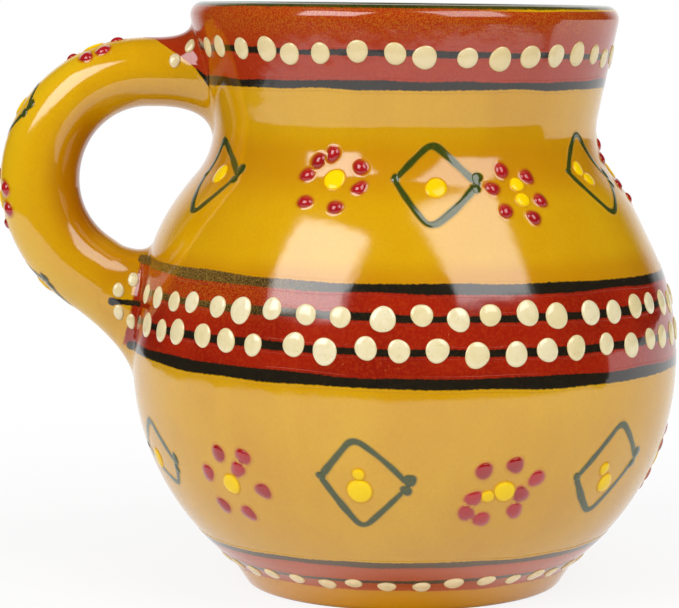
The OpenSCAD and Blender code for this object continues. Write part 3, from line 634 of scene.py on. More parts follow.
def make_pot():
    path_r, path_z = np.split(pot_rings(), 2, axis=1)
    r = path_r + hand(theta_round, path_z) * smooth(0, STRAY_FULL_R, path_r)
    z = path_z + rim_tilt(theta_round, path_z)
    rings = np.stack([r * np.sin(theta_round), -r * np.cos(theta_round), z], -1)
    build = Build()
    build.add_tube(rings, [[0, 0, FOOT_HOLLOW], [0, 0, FLOOR_T]])
    build.piece("glazed_pot", gold_glaze, "gold_glaze", "pot_body")


# The handle: oval sections along its bends, spread onto the wall at both roots

root_half_w = HANDLE_W / 2 + ROOT_SIDE_SPREAD
upper_arm_h = HANDLE_UPPER_T / 2
lower_arm_h = HANDLE_T / 2 / math.cos(HANDLE_DIP)
upper_root_z = MUG_H - ROOT_DROP - ROOT_RIM_SPREAD - upper_arm_h
lower_root_z = (BELLY_UPPER.z + BELLY_LOWER.z) / 2 + ROOT_RISE
upper_wall_r = float(wall_r(upper_root_z))
lower_wall_r = float(wall_r(lower_root_z))
handle_reach = BELLY_R + HANDLE_STAND
arm_fall = math.tan(HANDLE_DIP) * (handle_reach - lower_wall_r)
bend_share = 1 + math.cos(HANDLE_DIP) - math.tan(HANDLE_DIP) * (1 - math.sin(HANDLE_DIP))
bend_room = upper_root_z - lower_root_z - arm_fall
bend_r = bend_room / bend_share
bend_x = -(handle_reach - bend_r)
bend_z = upper_root_z - bend_r
lower_out = 1.5 * PI - HANDLE_DIP
upper_arm_c = np.array([-upper_wall_r - ROOT_RUN, upper_root_z])
lower_arm_c = np.array([
    -lower_wall_r - ROOT_RUN * math.cos(HANDLE_DIP),
    lower_root_z + ROOT_RUN * math.sin(HANDLE_DIP),
])
# A root's middle height, and how far it reaches above and below that
upper_spot = (upper_root_z, upper_arm_h + ROOT_RIM_SPREAD, upper_arm_h + ROOT_NECK_SPREAD)
lower_spot = (lower_root_z, lower_arm_h + ROOT_SHOULDER_SPREAD, lower_arm_h + ROOT_BELLY_SPREAD)
# Between these places along x the handle takes on its painted shade and light, past the roots' paint
ARM_SHADING_X = (-49.0, -57.0)


def root_seat(side, z):
    """A point just inside the wall behind the handle, at a side step and a height."""
    theta = -np.arccos(-side / wall_r(z))
    r = wall_r(z) + hand(theta, z)
    return np.stack([-np.sqrt(r ** 2 - side ** 2) + ROOT_SINK, side, z], -1)


def section(centre, out_angle, a):
    """A point round the handle's oval, whose outward direction is given by an angle."""
    grown = float(smooth(PI / 2, PI, out_angle))
    half = (HANDLE_UPPER_T + (HANDLE_T - HANDLE_UPPER_T) * grown) / 2
    return np.stack([
        centre[0] + half * np.cos(a) * math.cos(out_angle),
        HANDLE_W / 2 * np.sin(a),
        centre[1] + half * np.cos(a) * math.sin(out_angle),
    ], -1)


def root(spot, arm_h, end, side, up, t):
    """A point on a curve that leaves the wall at a root's spread and joins the handle's oval."""
    middle_z, above, below = spot
    start = root_seat(root_half_w * side, middle_z + np.where(up > 0, above, below) * up)
    by = root_seat(HANDLE_W / 2 * side, middle_z + arm_h * up)
    return (1 - t) ** 2 * start + 2 * t * (1 - t) * by + t ** 2 * end


def upper_root(a, t):
    return root(upper_spot, upper_arm_h, section(upper_arm_c, PI / 2, a), np.sin(a), np.cos(a), t)


def lower_root(a, t):
    return root(lower_spot, lower_arm_h, section(lower_arm_c, lower_out, a), np.sin(a), -np.cos(a), t)


def bend_ring(angle, a):
    centre = (bend_x + bend_r * math.cos(angle), bend_z + bend_r * math.sin(angle))
    return section(centre, angle, a)


def handle_rings():
    a = once_round(HANDLE_SIDES)
    inside = np.array([ROOT_DEPTH, 0, 0])
    rings = [upper_root(a, 0.0) + inside]
    rings += [upper_root(a, t) for t in ROOT_SHARES]
    rings += [bend_ring(angle, a) for angle in np.linspace(PI / 2, PI, UPPER_BEND_RINGS)]
    rings += [bend_ring(angle, a) for angle in np.linspace(PI, lower_out, LOWER_BEND_RINGS)[1:]]
    rings += [lower_root(a, t) for t in ROOT_SHARES[::-1]]
    rings += [lower_root(a, 0.0) + inside]
    return np.array(rings)


def make_handle():
    """Makes the handle, and returns its surface for finding nearest points."""
    rings = handle_rings()
    poles = np.array([rings[0].mean(0), rings[-1].mean(0)])
    # How far each point faces the pot, which sets the painted shade inside and the painted light outside
    # the arm
    inward = np.append(np.tile(-np.cos(once_round(HANDLE_SIDES)), len(rings)), [0, 0])
    arm = smooth(*ARM_SHADING_X, np.append(rings[..., 0], poles[:, 0]))
    build = Build()
    build.add_tube(rings, poles, inward=inward * arm, arm=arm)
    obj = build.piece("glazed_handle", gold_glaze, "gold_glaze", "handle")
    return BVHTree.FromPolygons([v.co / MM for v in obj.data.vertices], build.faces)


# Paint carried from the bands onto the roots, as thin sheets

# A small step along a root's surface, which gives its outward direction
SHEET_STEP = 0.001
# Share of a sheet's width that its sunk edge takes
SHEET_EDGE = 0.004
# How far past the paint's edge a sheet has sunk into the root, and where it starts to
SHEET_SINK = (2.5, 0.5)
# Half the turn that the rim's red covers, in degrees, at shares of the upper root's run
ROOT_RED_AT = (0, 0.2, 0.36, 0.6, 0.8, 0.92, 1.0, 1.06)
ROOT_RED_HALF = (100, 98, 90, 70, 50, 34, 18, 0)
# The least half turn of its sheet, and how far before the sheet's end the red ends
ROOT_RED_LEAST = 0.03
ROOT_RED_TIP = 0.25
# Ends of the rim's border line on the upper root: share of its run, half width, and turn inside the red
BORDER_END = 0.42
BORDER_END_HALF = 0.85
BORDER_END_INSET = 0.02
# From, to and steps of the sheets, as shares of a root's run and then across, which is a share
# of the half turn, millimetres or degrees
ROOT_RED_RUN = (0.02, ROOT_RED_AT[-1], 36)
ROOT_RED_SIDE = (-1.12, 1.12, 45)
BORDER_END_RUN = (0.02, 0.5, 16)
BORDER_END_SIDE = (-1.6, 1.6, 13)
LOWER_SHEET_RUN = (0.015, 0.93, 40)
LOWER_SHEET_TURN = (25, 160, 61)
# How far out the belly's red reaches on the lower root, at heights
LOWER_RED_Z = (42, 48, 56, 60)
LOWER_RED_X = (-49.2, -47.6, -46.0, -45.6)
# Width over which the dark strokes there pass from the red beside them to the gold
LOWER_RED_FADE = 0.3
# A border line's width over half the width of its stroke on the lower root
BORDER_THINNING = 2.4
# Strokes on the lower root, each with two ends as (x, height) and half its width:
# the belly's border lines, and in front the stroke between the beads with the blob at its end
BORDER_STROKES = [
    ((-40, line.z + line.lean), (end_x, line.z + line.lean), line.width / BORDER_THINNING)
    for line, end_x in ((BELLY_UPPER, -45.6), (BELLY_LOWER, -47.6))
]
FRONT_STROKES = [((-45.5, 50.0), (-50.9, 50.3), 0.5), ((-50.7, 50.3), (-50.6, 50.3), 0.75)]


def upper_run(a, share):
    """A point round the upper root, and past it onto the bend."""
    if share <= 1:
        return upper_root(a, share)
    return bend_ring(PI / 2 + (share - 1) * ROOT_RUN / bend_r, a)


def laid(surface, angles, shares, lift):
    """Points of a root's surface, lifted off it."""
    rows = []
    for a, share, rise in zip(angles, shares, lift):
        point = surface(a, share)
        turn = surface(a + SHEET_STEP, share) - surface(a - SHEET_STEP, share)
        run = surface(a, share + SHEET_STEP) - surface(a, share - SHEET_STEP)
        out = unit(np.cross(turn, run))
        away = point - surface(a + PI, share)
        out = out * np.sign((out * away).sum(1, keepdims=True))
        rows.append(point + out * rise[:, None])
    return np.array(rows)


def add_sheet(build, surface, angles, shares, coat, edge, upper=0.0):
    """A thin closed sheet of paint on a root, whose rim sinks into it."""
    lift = np.full(edge.shape, -PAINT_SINK)
    lift[1:-1, 1:-1] = (coat + PAINT_SINK) * smooth(*SHEET_SINK, edge[1:-1, 1:-1]) - PAINT_SINK
    top = laid(surface, angles, shares, lift)
    under = laid(surface, angles, shares, np.full(edge.shape, -PAINT_DEPTH))
    count = edge.size
    spots = np.arange(count).reshape(edge.shape)
    rim = np.concatenate([spots[0], spots[1:, -1], spots[-1, -2::-1], spots[-2:0:-1, 0]]).tolist()
    sheet = grid_faces(*edge.shape, False, False)
    faces = sheet + [[k + count for k in face] for face in sheet]
    faces += [[a, b, b + count, a + count] for a, b in zip(rim, rim[1:] + rim[:1])]
    upper = np.broadcast_to(upper, edge.shape)
    build.add([top, under], faces, edge=[edge, edge], upper=[upper, upper])


def sheet_steps(low, high, count):
    return edged(low, high, (high - low) * SHEET_EDGE, count)


def root_red_half(shares):
    return np.radians(np.interp(shares, ROOT_RED_AT, ROOT_RED_HALF))


def make_root_red():
    shares = sheet_steps(*ROOT_RED_RUN)
    aside = sheet_steps(*ROOT_RED_SIDE)
    half = np.maximum(root_red_half(shares), ROOT_RED_LEAST)[:, None]
    edge = (np.abs(aside) - 1) * half * root_half_w
    edge = np.maximum(edge, ((shares - ROOT_RED_AT[-1]) * ROOT_RUN + ROOT_RED_TIP)[:, None])
    build = Build()
    add_sheet(build, upper_run, half * aside, shares, RED_COAT, edge)
    build.piece("handle_root_red_slip", root_red_slip, "red_slip", "handle_root_red")


def add_rim_border_ends(build):
    """The rim's border line run on a little way along the red on either side of the upper root."""
    shares = sheet_steps(*BORDER_END_RUN)
    aside = sheet_steps(*BORDER_END_SIDE)
    half_w = BORDER_END_HALF * np.sqrt(np.clip(1 - (shares / BORDER_END) ** 2, 0, 1))
    edge = np.maximum(np.abs(aside) - half_w[:, None], (shares[:, None] - BORDER_END) * ROOT_RUN)
    for way in (-1, 1):
        middle = way * (root_red_half(shares) - BORDER_END_INSET)
        angles = middle[:, None] + aside / root_half_w
        add_sheet(build, upper_run, angles, shares, DARK_COAT, edge, aside * way < 0)


def lower_root_grid(way):
    """Angles, shares and points of the lower root's front or back."""
    shares = sheet_steps(*LOWER_SHEET_RUN)
    angles = way * np.radians(sheet_steps(*LOWER_SHEET_TURN))
    angles = np.broadcast_to(angles, (len(shares), len(angles)))
    points = np.array([lower_root(a, share) for a, share in zip(angles, shares)])
    return angles, shares, points


def lower_red_edge(points):
    """How far points of the lower root lie outside the belly's red."""
    z = points[..., 2]
    out = np.interp(z, LOWER_RED_Z, LOWER_RED_X) - points[..., 0]
    above = z - BELLY_UPPER.z - BELLY_UPPER.lean
    below = BELLY_LOWER.z + BELLY_LOWER.lean - z
    return np.max([out, above, below], 0)


def add_lower_root_red(build):
    for way in (-1, 1):
        angles, shares, points = lower_root_grid(way)
        add_sheet(build, lower_root, angles, shares, RED_COAT, lower_red_edge(points))


def past_stroke(points, start, stop, half_w):
    """How far points lie outside a stroke with round ends."""
    flat = points[..., [0, 2]]
    start = np.array(start)
    way = np.array(stop) - start
    share = np.clip(((flat - start) @ way) / (way @ way), 0, 1)
    return np.linalg.norm(flat - start - share[..., None] * way, axis=-1) - half_w


def add_lower_root_strokes(build):
    for way, strokes in ((-1, BORDER_STROKES + FRONT_STROKES), (1, BORDER_STROKES)):
        angles, shares, points = lower_root_grid(way)
        edge = np.min([past_stroke(points, *stroke) for stroke in strokes], 0)
        upper = smooth(-LOWER_RED_FADE, LOWER_RED_FADE, lower_red_edge(points))
        add_sheet(build, lower_root, angles, shares, DARK_COAT, edge, upper)


# Bands and lines painted round the pot

# Waves along a painted edge and in a line's width: size, count round the pot, share of the seed
WAVER = ((0.1, 3, 1), (0.07, 8, 2.3), (0.05, 19, 1.7))
LINE_SWELL = ((0.12, 5, 1), (0.08, 13, -1))


def waves(forms, seed):
    return sum(size * np.sin(count * theta_round + share * seed) for size, count, share in forms)


def leaning(z, lean, theta):
    return z - lean * np.sin(theta)


def line_run(line):
    return run_at(leaning(line.z, line.lean, theta_round)) + waves(WAVER, line.seed)


def lip_run(angle, share, seed):
    return wall_run[-1] + lip_round * (angle + RIM_LEAN) + share * waves(WAVER, seed)


def make_strip(name, node, low, high, coat, material, slot, ends=None, low_share=0.0):
    """A closed thin ring between two runs along the outside, with soft edges and a level top.

    The low edge passes into the colour below, or by a share into the one above.
    """
    start = low - SOFT_EDGE
    span = high + SOFT_EDGE - start
    across = edged(0, 1, EDGE_W / span.mean(), 4 + round(span.mean() / STRIP_STEP))
    # The underside comes back over every third point
    under = across[-4:2:-3]
    runs = start[:, None] + span[:, None] * np.append(across, under)
    lifts = np.where((across > 0) & (across < 1), coat, -PAINT_SINK)
    lifts = np.append(lifts, np.full(len(under), -PAINT_DEPTH))
    edge = np.maximum(low[:, None] - runs, runs - high[:, None])
    upper = np.where(runs > (low + high)[:, None] / 2, 1.0, np.reshape(low_share, (-1, 1)))
    points = on_pot(theta_round[:, None], runs, lifts)
    build = Build()
    build.add(points, grid_faces(*runs.shape, True, True), edge=edge, upper=upper)
    if ends:
        ends(build)
    build.piece(name, material, slot, node)


def make_bands():
    belly = (line_run(BELLY_LOWER), line_run(BELLY_UPPER))
    foot_low = run_at(FOOT_BAND_LOW[0]) + waves(WAVER, FOOT_BAND_LOW[1])
    for name, node, low, high, ends in (
        ("rim_red_slip", "rim_red_band", line_run(RIM_BORDER), lip_run(*LIP_RED_HIGH), None),
        ("belly_red_slip", "belly_red_band", *belly, add_lower_root_red),
        ("foot_red_slip", "foot_red_band", foot_low, line_run(FOOT_BORDER), None),
    ):
        make_strip(name, node, low, high, RED_COAT, red_slip, "red_slip", ends)
    come, full, last, gone = LIP_GOLD_TURN
    gold_line = smooth(come, full, theta_round) * smooth(gone, last, theta_round)
    make_strip("lip_green_slip", "lip_green_band", lip_run(*LIP_GREEN_LOW), lip_run(*LIP_GREEN_HIGH),
               DARK_COAT, green_lip, "green_lip", low_share=gold_line)


def make_lines():
    for name, node, line, material, ends in (
        ("rim_bead_stroke", "rim_bead_line", RIM_BEAD_LINE, dark_on_red, None),
        ("rim_border_stroke", "rim_border_line", RIM_BORDER, dark_under_red, add_rim_border_ends),
        ("belly_upper_stroke", "belly_upper_border", BELLY_UPPER, dark_over_red, add_lower_root_strokes),
        ("belly_lower_stroke", "belly_lower_border", BELLY_LOWER, dark_under_red, None),
        ("belly_upper_bead_stroke", "belly_upper_bead_line", BELLY_UPPER_BEADS, dark_on_red, None),
        ("belly_lower_bead_stroke", "belly_lower_bead_line", BELLY_LOWER_BEADS, dark_on_red, None),
        ("foot_border_stroke", "foot_border_line", FOOT_BORDER, dark_over_red, None),
        ("foot_bead_stroke", "foot_bead_line", FOOT_BEAD_LINE, dark_on_red, None),
    ):
        middle = line_run(line)
        half = line.width / 2 * (1 + waves(LINE_SWELL, line.seed))
        make_strip(name, node, middle - half, middle + half, DARK_COAT, material, "dark_slip", ends)


# Beads, petals, eyes and trails, each where its solid lies

# Points of a solid that lie closer than this, in metres, are one
MERGE = 1e-7
# A surface is nearly level where the upward direction along it is shorter than this
NEARLY_LEVEL = 0.2


def islands(node):
    """Points of each separate solid in a node."""
    bm = bmesh.new()
    bm.from_mesh(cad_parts[node].data)
    bmesh.ops.remove_doubles(bm, verts=bm.verts, dist=MERGE)
    found = []
    for start in bm.verts:
        island = [] if start.tag else [start]
        start.tag = True
        for vert in island:
            near = [edge.other_vert(vert) for edge in vert.link_edges]
            new = [other for other in near if not other.tag]
            for other in new:
                other.tag = True
            island += new
        if island:
            found.append(np.array([vert.co / MM for vert in island]))
    bm.free()
    return sorted(found, key=lambda p: tuple(np.round(p.mean(0), 2)))


def pot_patch(centre, line=None):
    """Maps steps aside and up from a centre on the wall, and a lift, to points in space."""
    theta = math.atan2(centre[0], -centre[1])
    height = np.clip(centre[2], foot_edge_z, lip_z)
    if line:
        height = leaning(height, line.lean, theta)
    run = run_at(height)
    r = wall_r(height)
    return lambda side, up, lift: on_pot(theta + side / r, run + up, lift)


def pot_steps(centre, points):
    """Steps aside and up from a centre on the wall to points on it."""
    theta = math.atan2(centre[0], -centre[1])
    turn = wrapped(np.arctan2(points[:, 0], -points[:, 1]) - theta)
    up = run_at(points[:, 2]) - run_at(centre[2])
    return np.stack([turn * wall_r(centre[2]), up], 1)


def handle_seat(tree, centre):
    """The handle's nearest point to a centre, with the directions aside and up along the surface."""
    seat, out = (np.array(v) for v in tree.find_nearest(Vector(centre))[:2])
    up = np.array([0, 0, 1.0]) - out * out[2]
    if np.linalg.norm(up) < NEARLY_LEVEL:
        up = np.array([-1.0, 0, 0]) + out * out[0]
    up = unit(up)
    return seat, np.cross(up, out), up


def handle_patch(tree, centre):
    """The same as pot_patch on the handle, whose surface is found by the nearest point."""
    seat, aside, upward = handle_seat(tree, centre)

    def at(side, up, lift):
        side, up, lift = matched(side, up, lift)
        guess = seat + side[..., None] * aside + up[..., None] * upward
        found = [tree.find_nearest(Vector(p))[:2] for p in guess.reshape(-1, 3)]
        base = np.array([spot for spot, out in found]).reshape(guess.shape)
        outs = np.array([out for spot, out in found]).reshape(guess.shape)
        return base + outs * lift[..., None]
    return at


def handle_steps(tree, centre, points):
    seat, aside, upward = handle_seat(tree, centre)
    return np.stack([(points - seat) @ aside, (points - seat) @ upward], 1)


def moved(at, step):
    return lambda side, up, lift: at(side + step[0], up + step[1], lift)


def bead_size(points):
    """Centre and radius of a bead's solid."""
    centre = points.mean(0)
    spread = points - centre
    flat = np.linalg.svd(spread, full_matrices=False)[2][2]
    flat_spread = spread - np.outer(spread @ flat, flat)
    return centre, np.linalg.norm(flat_spread, axis=1).max()


# Forms of beads: height, two powers of the profile, width of the bled skirt, height over width,
# how far from round, and radius over that of the solid
CREAM_BEAD = dict(height=0.36, power=3.4, blunt=0.6, skirt=0.0, tall=1.06, loose=0.05, grow=1.0)
FOOT_BEAD = dict(CREAM_BEAD, tall=0.9, grow=1.1)
ROOT_BEAD = dict(CREAM_BEAD, tall=1.35, grow=0.82)
PETAL_BEAD = dict(height=0.5, power=2.2, blunt=0.75, skirt=0.75, tall=1.0, loose=0.12, grow=0.97)
LOWER_PETAL = dict(PETAL_BEAD, height=0.3, grow=1.12)
EYE_BEAD = dict(height=0.3, power=3.0, blunt=0.6, skirt=0.3, tall=1.0, loose=0.06, grow=1.15)
BLOB = dict(height=0.14, power=2.2, blunt=0.8, skirt=0.35, tall=1.0, loose=0.14, grow=1.0)
# Rings of a bead as shares of its radius, how deep it is sunk, and how far it is drawn in there
BEAD_SHARES = np.array([0.25, 0.5, 0.7, 0.84, 0.93, 0.98, 1.0])
BEAD_DEPTH = 0.35
BEAD_DRAWN_IN = 0.98
# How much of a form's looseness is drawn at least, and the share of it that is three-sided
LEAST_LOOSE = 0.3
LOOSE_THREE = 0.6
# How high the thin skirt of bled colour round a bead or a trail lies
SKIRT_LIFT = 0.04


def add_bead(build, at, radius, form, tone):
    """A low bead, loosely round, whose edge sinks into what it sits on."""
    phi = once_round(BEAD_SIDES)
    shift = RNG.uniform(0, 2 * PI, 2)
    loose = form["loose"] * RNG.uniform(LEAST_LOOSE, 1, 2)
    around = 1 + loose[0] * np.cos(2 * phi + shift[0]) + LOOSE_THREE * loose[1] * np.cos(3 * phi + shift[1])
    lifts = form["height"] * (1 - BEAD_SHARES ** form["power"]) ** form["blunt"] + SKIRT_LIFT
    reach = radius * BEAD_SHARES
    if form["skirt"]:
        skirt = radius + form["skirt"]
        reach = np.append(reach, [skirt - 2 * EDGE_W, skirt - EDGE_W, skirt])
        lifts = np.append(lifts, [SKIRT_LIFT, SKIRT_LIFT, -PAINT_SINK])
    reach = np.append(reach, reach[-1] * BEAD_DRAWN_IN)
    lifts = np.append(lifts, -BEAD_DEPTH)
    side = reach[:, None] * around * np.cos(phi)
    up = reach[:, None] * around * np.sin(phi) * form["tall"]
    rings = at(side, up, lifts[:, None])
    poles = at(0.0, 0.0, [form["height"] + SKIRT_LIFT, -BEAD_DEPTH])
    edge = np.append(np.repeat(reach - radius, BEAD_SIDES), [-radius, reach[-1] - radius])
    build.add_tube(rings, poles, edge=edge, tone=tone)


def make_beads(name, node, material, slot, form, patch):
    build = Build()
    for points in islands(node):
        centre, radius = bead_size(points)
        add_bead(build, patch(centre), radius * form["grow"], form, RNG.uniform(0, 1))
    build.piece(name, material, slot, node)


# A trail's half width, crest and skirt, and its points across as shares of the half width
TRAIL_HALF = 0.44
TRAIL_RISE = 0.03
TRAIL_SKIRT = 0.35
TRAIL_SHARES = np.array([-1, -0.7, -0.35, 0, 0.35, 0.7, 1])
# Points round one section of a trail's solid
TRAIL_SECTION = 5
# The straight stretch of a solid's side, and how far a corner is drawn out at most
STRAIGHT = (0.3, 0.7)
CORNER_REACH = 1.6
# Points along a side, how far it bows out at most, and the weight of the hand on it
SIDE_POINTS = 34
SIDE_BOW = 0.5
SIDE_WEIGHT = (0.8, 1.35)
# Swells of a trail's width: size, and count along it
TRAIL_SWELL = ((0.1, 5), (0.06, 11))
# The rounded top and bottom: points averaged to either side, how much, and how near
TURN_POINTS = 7
TURN_SHARE = 0.85
TURN_REACH = 2.2
# Where blobs lie from the right and left corners, and their radii
RIGHT_BLOBS = ((0.1, 0.95, 1.0), (-0.5, -0.95, 0.85))
LEFT_BLOBS = ((0.1, 0.2, 0.7),)


def ridge_steps(centre, points, steps_from):
    """The middle line of a trail's solid: the mean of the points that share a direction."""
    steps = steps_from(centre, points)
    order = np.argsort(np.arctan2(steps[:, 1], steps[:, 0]))
    sections = np.array_split(order, len(points) // TRAIL_SECTION)
    return np.array([steps[s].mean(0) for s in sections])


def diamond_corners(ridge):
    """The right, top, left and bottom corners, where the four straight sides of a trail would meet."""
    found = [ridge[:, 0].argmax(), ridge[:, 1].argmax(), ridge[:, 0].argmin(), ridge[:, 1].argmin()]
    starts = []
    ways = []
    for start, stop in zip(found, np.roll(found, -1)):
        span = (stop - start) % len(ridge)
        first, last = (ridge[(start + round(share * span)) % len(ridge)] for share in STRAIGHT)
        starts.append(first)
        ways.append(last - first)
    corners = []
    for k in range(4):
        share = np.linalg.det([starts[k] - starts[k - 1], ways[k]]) / np.linalg.det([ways[k - 1], ways[k]])
        corner = starts[k - 1] + share * ways[k - 1]
        drawn_out = corner - ridge[found[k]]
        corners.append(ridge[found[k]] + drawn_out * min(1, CORNER_REACH / np.linalg.norm(drawn_out)))
    return np.array(corners)


def stroke_curve(corners):
    """Four hand-drawn strokes from corner to corner, rounded where the top and the bottom turn."""
    t = np.linspace(0, 1, SIDE_POINTS, endpoint=False)[:, None]
    sides = []
    for start, stop in zip(corners, np.roll(corners, -1, 0)):
        way = stop - start
        out = unit(np.array([way[1], -way[0]]))
        sides.append(start + way * t + out * RNG.uniform(0, SIDE_BOW) * np.sin(PI * t))
    curve = np.concatenate(sides)
    soft = np.mean([np.roll(curve, shift, 0) for shift in range(-TURN_POINTS, TURN_POINTS + 1)], 0)
    far = np.minimum(*(np.linalg.norm(curve - corners[k], axis=1) for k in (1, 3)))
    near = TURN_SHARE * np.exp(-(far / TURN_REACH) ** 2)[:, None]
    return curve + (soft - curve) * near


def stroke_width(count):
    """Half the width along a trail, heavier or lighter from side to side."""
    shift = RNG.uniform(0, 2 * PI, len(TRAIL_SWELL))
    walk = once_round(count)
    side_middles = np.arange(0.5, 4.5) * PI / 2
    weight = np.interp(walk, side_middles, RNG.uniform(*SIDE_WEIGHT, 4), period=2 * PI)
    swell = 1
    for (size, times), late in zip(TRAIL_SWELL, shift):
        swell = swell + size * np.sin(times * walk + late)
    return TRAIL_HALF * weight * swell


def add_trail(build, at, ridge):
    """A trailed diamond, with blobs where the strokes start and end at its sides."""
    corners = diamond_corners(ridge)
    curve = stroke_curve(corners)
    width = stroke_width(len(curve))[:, None]
    along = unit(np.roll(curve, -1, 0) - np.roll(curve, 1, 0))
    ends = width + TRAIL_SKIRT
    skirt = ends - EDGE_W * np.array([2, 1, 0])
    offset = np.concatenate([-skirt[:, ::-1], width * TRAIL_SHARES, skirt, 0.5 * ends, -0.5 * ends], 1)
    crest = SKIRT_LIFT + TRAIL_RISE * (1 - TRAIL_SHARES ** 2)
    skirt_lifts = [SKIRT_LIFT, SKIRT_LIFT, -PAINT_SINK]
    lift = np.concatenate([skirt_lifts[::-1], crest, skirt_lifts, [-PAINT_DEPTH, -PAINT_DEPTH]])
    points = at(curve[:, :1] + along[:, 1:] * offset, curve[:, 1:] - along[:, :1] * offset, lift)
    tone = RNG.uniform(0, 1)
    build.add(points, grid_faces(*offset.shape, True, True), edge=np.abs(offset) - width, tone=tone)
    for corner, blobs in ((corners[0], RIGHT_BLOBS), (corners[2], LEFT_BLOBS)):
        for right, high, radius in blobs:
            add_bead(build, moved(at, corner + (right, high)), radius, BLOB, tone)


def make_trails(name, node, patch, steps_from):
    build = Build()
    for points in islands(node):
        centre = points.mean(0)
        add_trail(build, patch(centre), ridge_steps(centre, points, steps_from))
    build.piece(name, green_trail, "green_trail", node)


def make_ornament(tree):
    on_handle = partial(handle_patch, tree)
    for name, node, line, form in (
        ("rim_cream_beads", "rim_beads", RIM_BEAD_LINE, CREAM_BEAD),
        ("belly_upper_cream_beads", "belly_upper_beads", BELLY_UPPER_BEADS, CREAM_BEAD),
        ("belly_lower_cream_beads", "belly_lower_beads", BELLY_LOWER_BEADS, CREAM_BEAD),
        ("foot_cream_beads", "foot_beads", FOOT_BEAD_LINE, FOOT_BEAD),
    ):
        make_beads(name, node, cream_slip, "cream_slip", form, partial(pot_patch, line=line))
    make_beads("handle_root_cream_beads", "handle_root_beads", cream_slip, "cream_slip",
               ROOT_BEAD, on_handle)
    rows = (
        ("shoulder", pot_patch, pot_steps, PETAL_BEAD),
        ("lower", pot_patch, pot_steps, LOWER_PETAL),
        ("handle", on_handle, partial(handle_steps, tree), PETAL_BEAD),
    )
    for row, patch, steps_from, form in rows:
        make_beads(row + "_red_petals", row + "_flower_petals", petal_slip, "petal_slip", form, patch)
        for motif in (row + "_flower", row + "_diamond"):
            eyes = motif + "_eyes"
            make_beads(motif + "_yellow_eyes", eyes, yellow_slip, "yellow_slip", EYE_BEAD, patch)
    for row, patch, steps_from, form in rows:
        make_trails(row + "_green_trails", row + "_diamonds", patch, steps_from)


# Studio, in metres

FLOOR_HALF = 30.0
# How white the floor is to the camera near the mug and far from it, and between which distances
FLOOR_WHITE = (0.86, 1.0)
FLOOR_WHITE_R = (0.05, 0.24)
# The floor's own colour, and the one that the glaze mirrors where it isn't white
FLOOR_MATT = (0.9, 0.9, 0.9, 1)
FLOOR_DIM = (0.02, 0.02, 0.02, 1)
# How far the white table that the glaze mirrors reaches before the mug, and where it fades.
# A step aside counts by a share, on the right only before the mug, between two values of y
TABLE_R = 0.241
TABLE_FADE = 0.008
TABLE_SIDE_SHARE = 0.8
TABLE_RIGHT_Y = (0.02, -0.05)
# Where the mug's own shade on the table ends, from its axis, and how much sooner at the sides
FOOT_SHADE = (0.027, 0.04)
FOOT_SHADE_WAY = (1.5, 1, 0)
# Where the white backdrop begins and is full, as the share of a direction that points straight back
BACKDROP = (0.7, 0.95)
# Plain light from all round, and the darkness that the glaze mirrors before the mug
ROOM_FILL = 0.44
ROOM_DARK = 0.02


def mirrored_white(g):
    """Where the glaze mirrors the floor as white: the table round the mug, and the backdrop."""
    place = g.place()
    right, behind = g.parts(place)[:2]
    bounded = g.most(g.math("LESS_THAN", right, 0.0), g.step(*TABLE_RIGHT_Y, behind))
    aside = g.times(right, g.spread(0.0, TABLE_SIDE_SHARE, bounded))
    reach = g.add("CombineXYZ", {0: aside, 1: g.math("MINIMUM", behind, 0.0)}).outputs[0]
    table = g.step(TABLE_R + TABLE_FADE, TABLE_R - TABLE_FADE, g.length(reach))
    shade = g.add("VectorMath", {0: place, 1: FOOT_SHADE_WAY}, operation="MULTIPLY").outputs[0]
    table = g.times(table, g.step(*FOOT_SHADE, g.length(shade)))
    return g.most(table, g.step(*BACKDROP, g.math("DIVIDE", behind, g.length(place))))


def make_floor():
    corners = [(x * FLOOR_HALF, y * FLOOR_HALF, 0) for x, y in ((-1, -1), (1, -1), (1, 1), (-1, 1))]
    mesh = bpy.data.meshes.new("floor")
    mesh.from_pydata(corners, [], [[0, 1, 2, 3]])
    floor = linked("floor", mesh)
    material = bpy.data.materials.new("studio_floor")
    material.use_nodes = True
    nodes = material.node_tree.nodes
    nodes.remove(nodes["Principled BSDF"])
    g = Graph(material.node_tree)
    path = g.add("LightPath").outputs
    mirrored = mirrored_white(g)
    seen = g.most(path["Is Camera Ray"], path["Is Transmission Ray"])
    seen = g.most(seen, g.times(path["Is Glossy Ray"], mirrored))
    dim = g.times(path["Is Glossy Ray"], g.math("SUBTRACT", 1.0, mirrored))
    matt = g.add("BsdfDiffuse", {"Color": g.mix(dim, FLOOR_MATT, FLOOR_DIM)}).outputs[0]
    glow = g.add("Emission").outputs[0]
    white = g.spread(*FLOOR_WHITE, g.step(*FLOOR_WHITE_R, g.length(g.place())))
    mixed = g.add("MixShader", {0: g.times(seen, white), 1: matt, 2: glow}).outputs[0]
    g.put(nodes["Material Output"].inputs["Surface"], mixed)
    floor.data.materials.append(material)


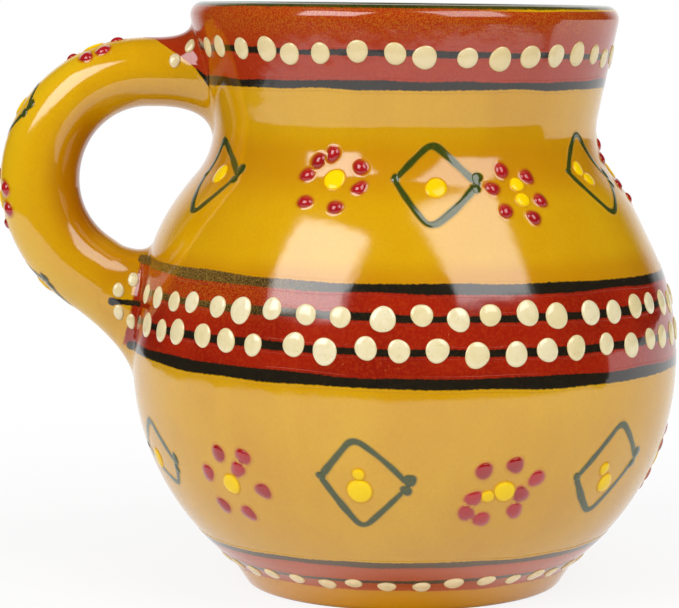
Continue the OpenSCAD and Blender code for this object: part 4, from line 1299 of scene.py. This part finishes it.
def make_world():
    """A white studio, darker on the side that the camera stands on."""
    world = bpy.data.worlds.new("studio")
    bpy.context.scene.world = world
    world.use_nodes = True
    g = Graph(world.node_tree)
    sky = world.node_tree.nodes["Background"]
    path = g.add("LightPath").outputs
    back = g.parts(g.add("TexCoord").outputs["Generated"])[1]
    room = g.spread(ROOM_DARK, 1.0, g.step(*BACKDROP, back))
    lit = g.add("Mix", {0: path["Is Glossy Ray"], 2: ROOM_FILL, 3: room}).outputs[0]
    seen = g.most(path["Is Camera Ray"], path["Is Transmission Ray"])
    strength = g.add("Mix", {0: seen, 2: lit, 3: 1.0}).outputs[0]
    g.put(sky.inputs["Strength"], strength)
    sky.inputs["Color"].default_value = (1, 1, 1, 1)


MUG_MIDDLE = Vector((0, 0, 0.06))
PANEL_DISTANCE = 1.3
# Share of a panel's width over which its light fades at either side
PANEL_FADE = 0.12


def softbox(name, azimuth, elevation, width, height, power):
    """A soft panel that faces the mug, from an azimuth right of the front."""
    data = bpy.data.lights.new(name, "AREA")
    data.shape = "RECTANGLE"
    data.size = width
    data.size_y = height
    data.energy = power
    data.use_nodes = True
    g = Graph(data.node_tree)
    level = 1.0
    for way in g.parts(g.add("NewGeometry").outputs["Parametric"])[:2]:
        level = g.times(level, g.zone(way, 0, PANEL_FADE, 1 - PANEL_FADE, 1))
    g.put(data.node_tree.nodes["Emission"].inputs["Strength"], level)
    a = math.radians(azimuth)
    e = math.radians(elevation)
    away = Vector((math.sin(a) * math.cos(e), -math.cos(a) * math.cos(e), math.sin(e)))
    lamp = linked(name, data)
    lamp.location = MUG_MIDDLE + away * PANEL_DISTANCE
    lamp.rotation_euler = away.to_track_quat("Z", "Y").to_euler()
    lamp.visible_camera = False


def make_lights():
    softbox("left_softbox", azimuth=-45, elevation=35, width=0.85, height=0.91, power=10.6)
    softbox("right_softbox", azimuth=40, elevation=45, width=0.88, height=1.13, power=9.9)


CAMERA_PLACE = Vector((-0.01129, -0.5032, 0.10392))
CAMERA_PITCH = math.radians(6.221)
CAMERA_LENS = 152.6
SENSOR_WIDTH = 36.0
CAMERA_CLIP = (0.01, 100)


def make_camera():
    data = bpy.data.cameras.new("camera")
    data.lens = CAMERA_LENS
    data.sensor_width = SENSOR_WIDTH
    data.clip_start, data.clip_end = CAMERA_CLIP
    camera = linked("camera", data)
    camera.location = CAMERA_PLACE
    camera.rotation_euler = (PI / 2 - CAMERA_PITCH, 0, 0)
    bpy.context.scene.camera = camera


make_pot()
handle_tree = make_handle()
make_bands()
make_lines()
make_root_red()
make_ornament(handle_tree)
make_floor()
make_world()
make_lights()
make_camera()
bpy.context.scene.view_settings.view_transform = "Standard"
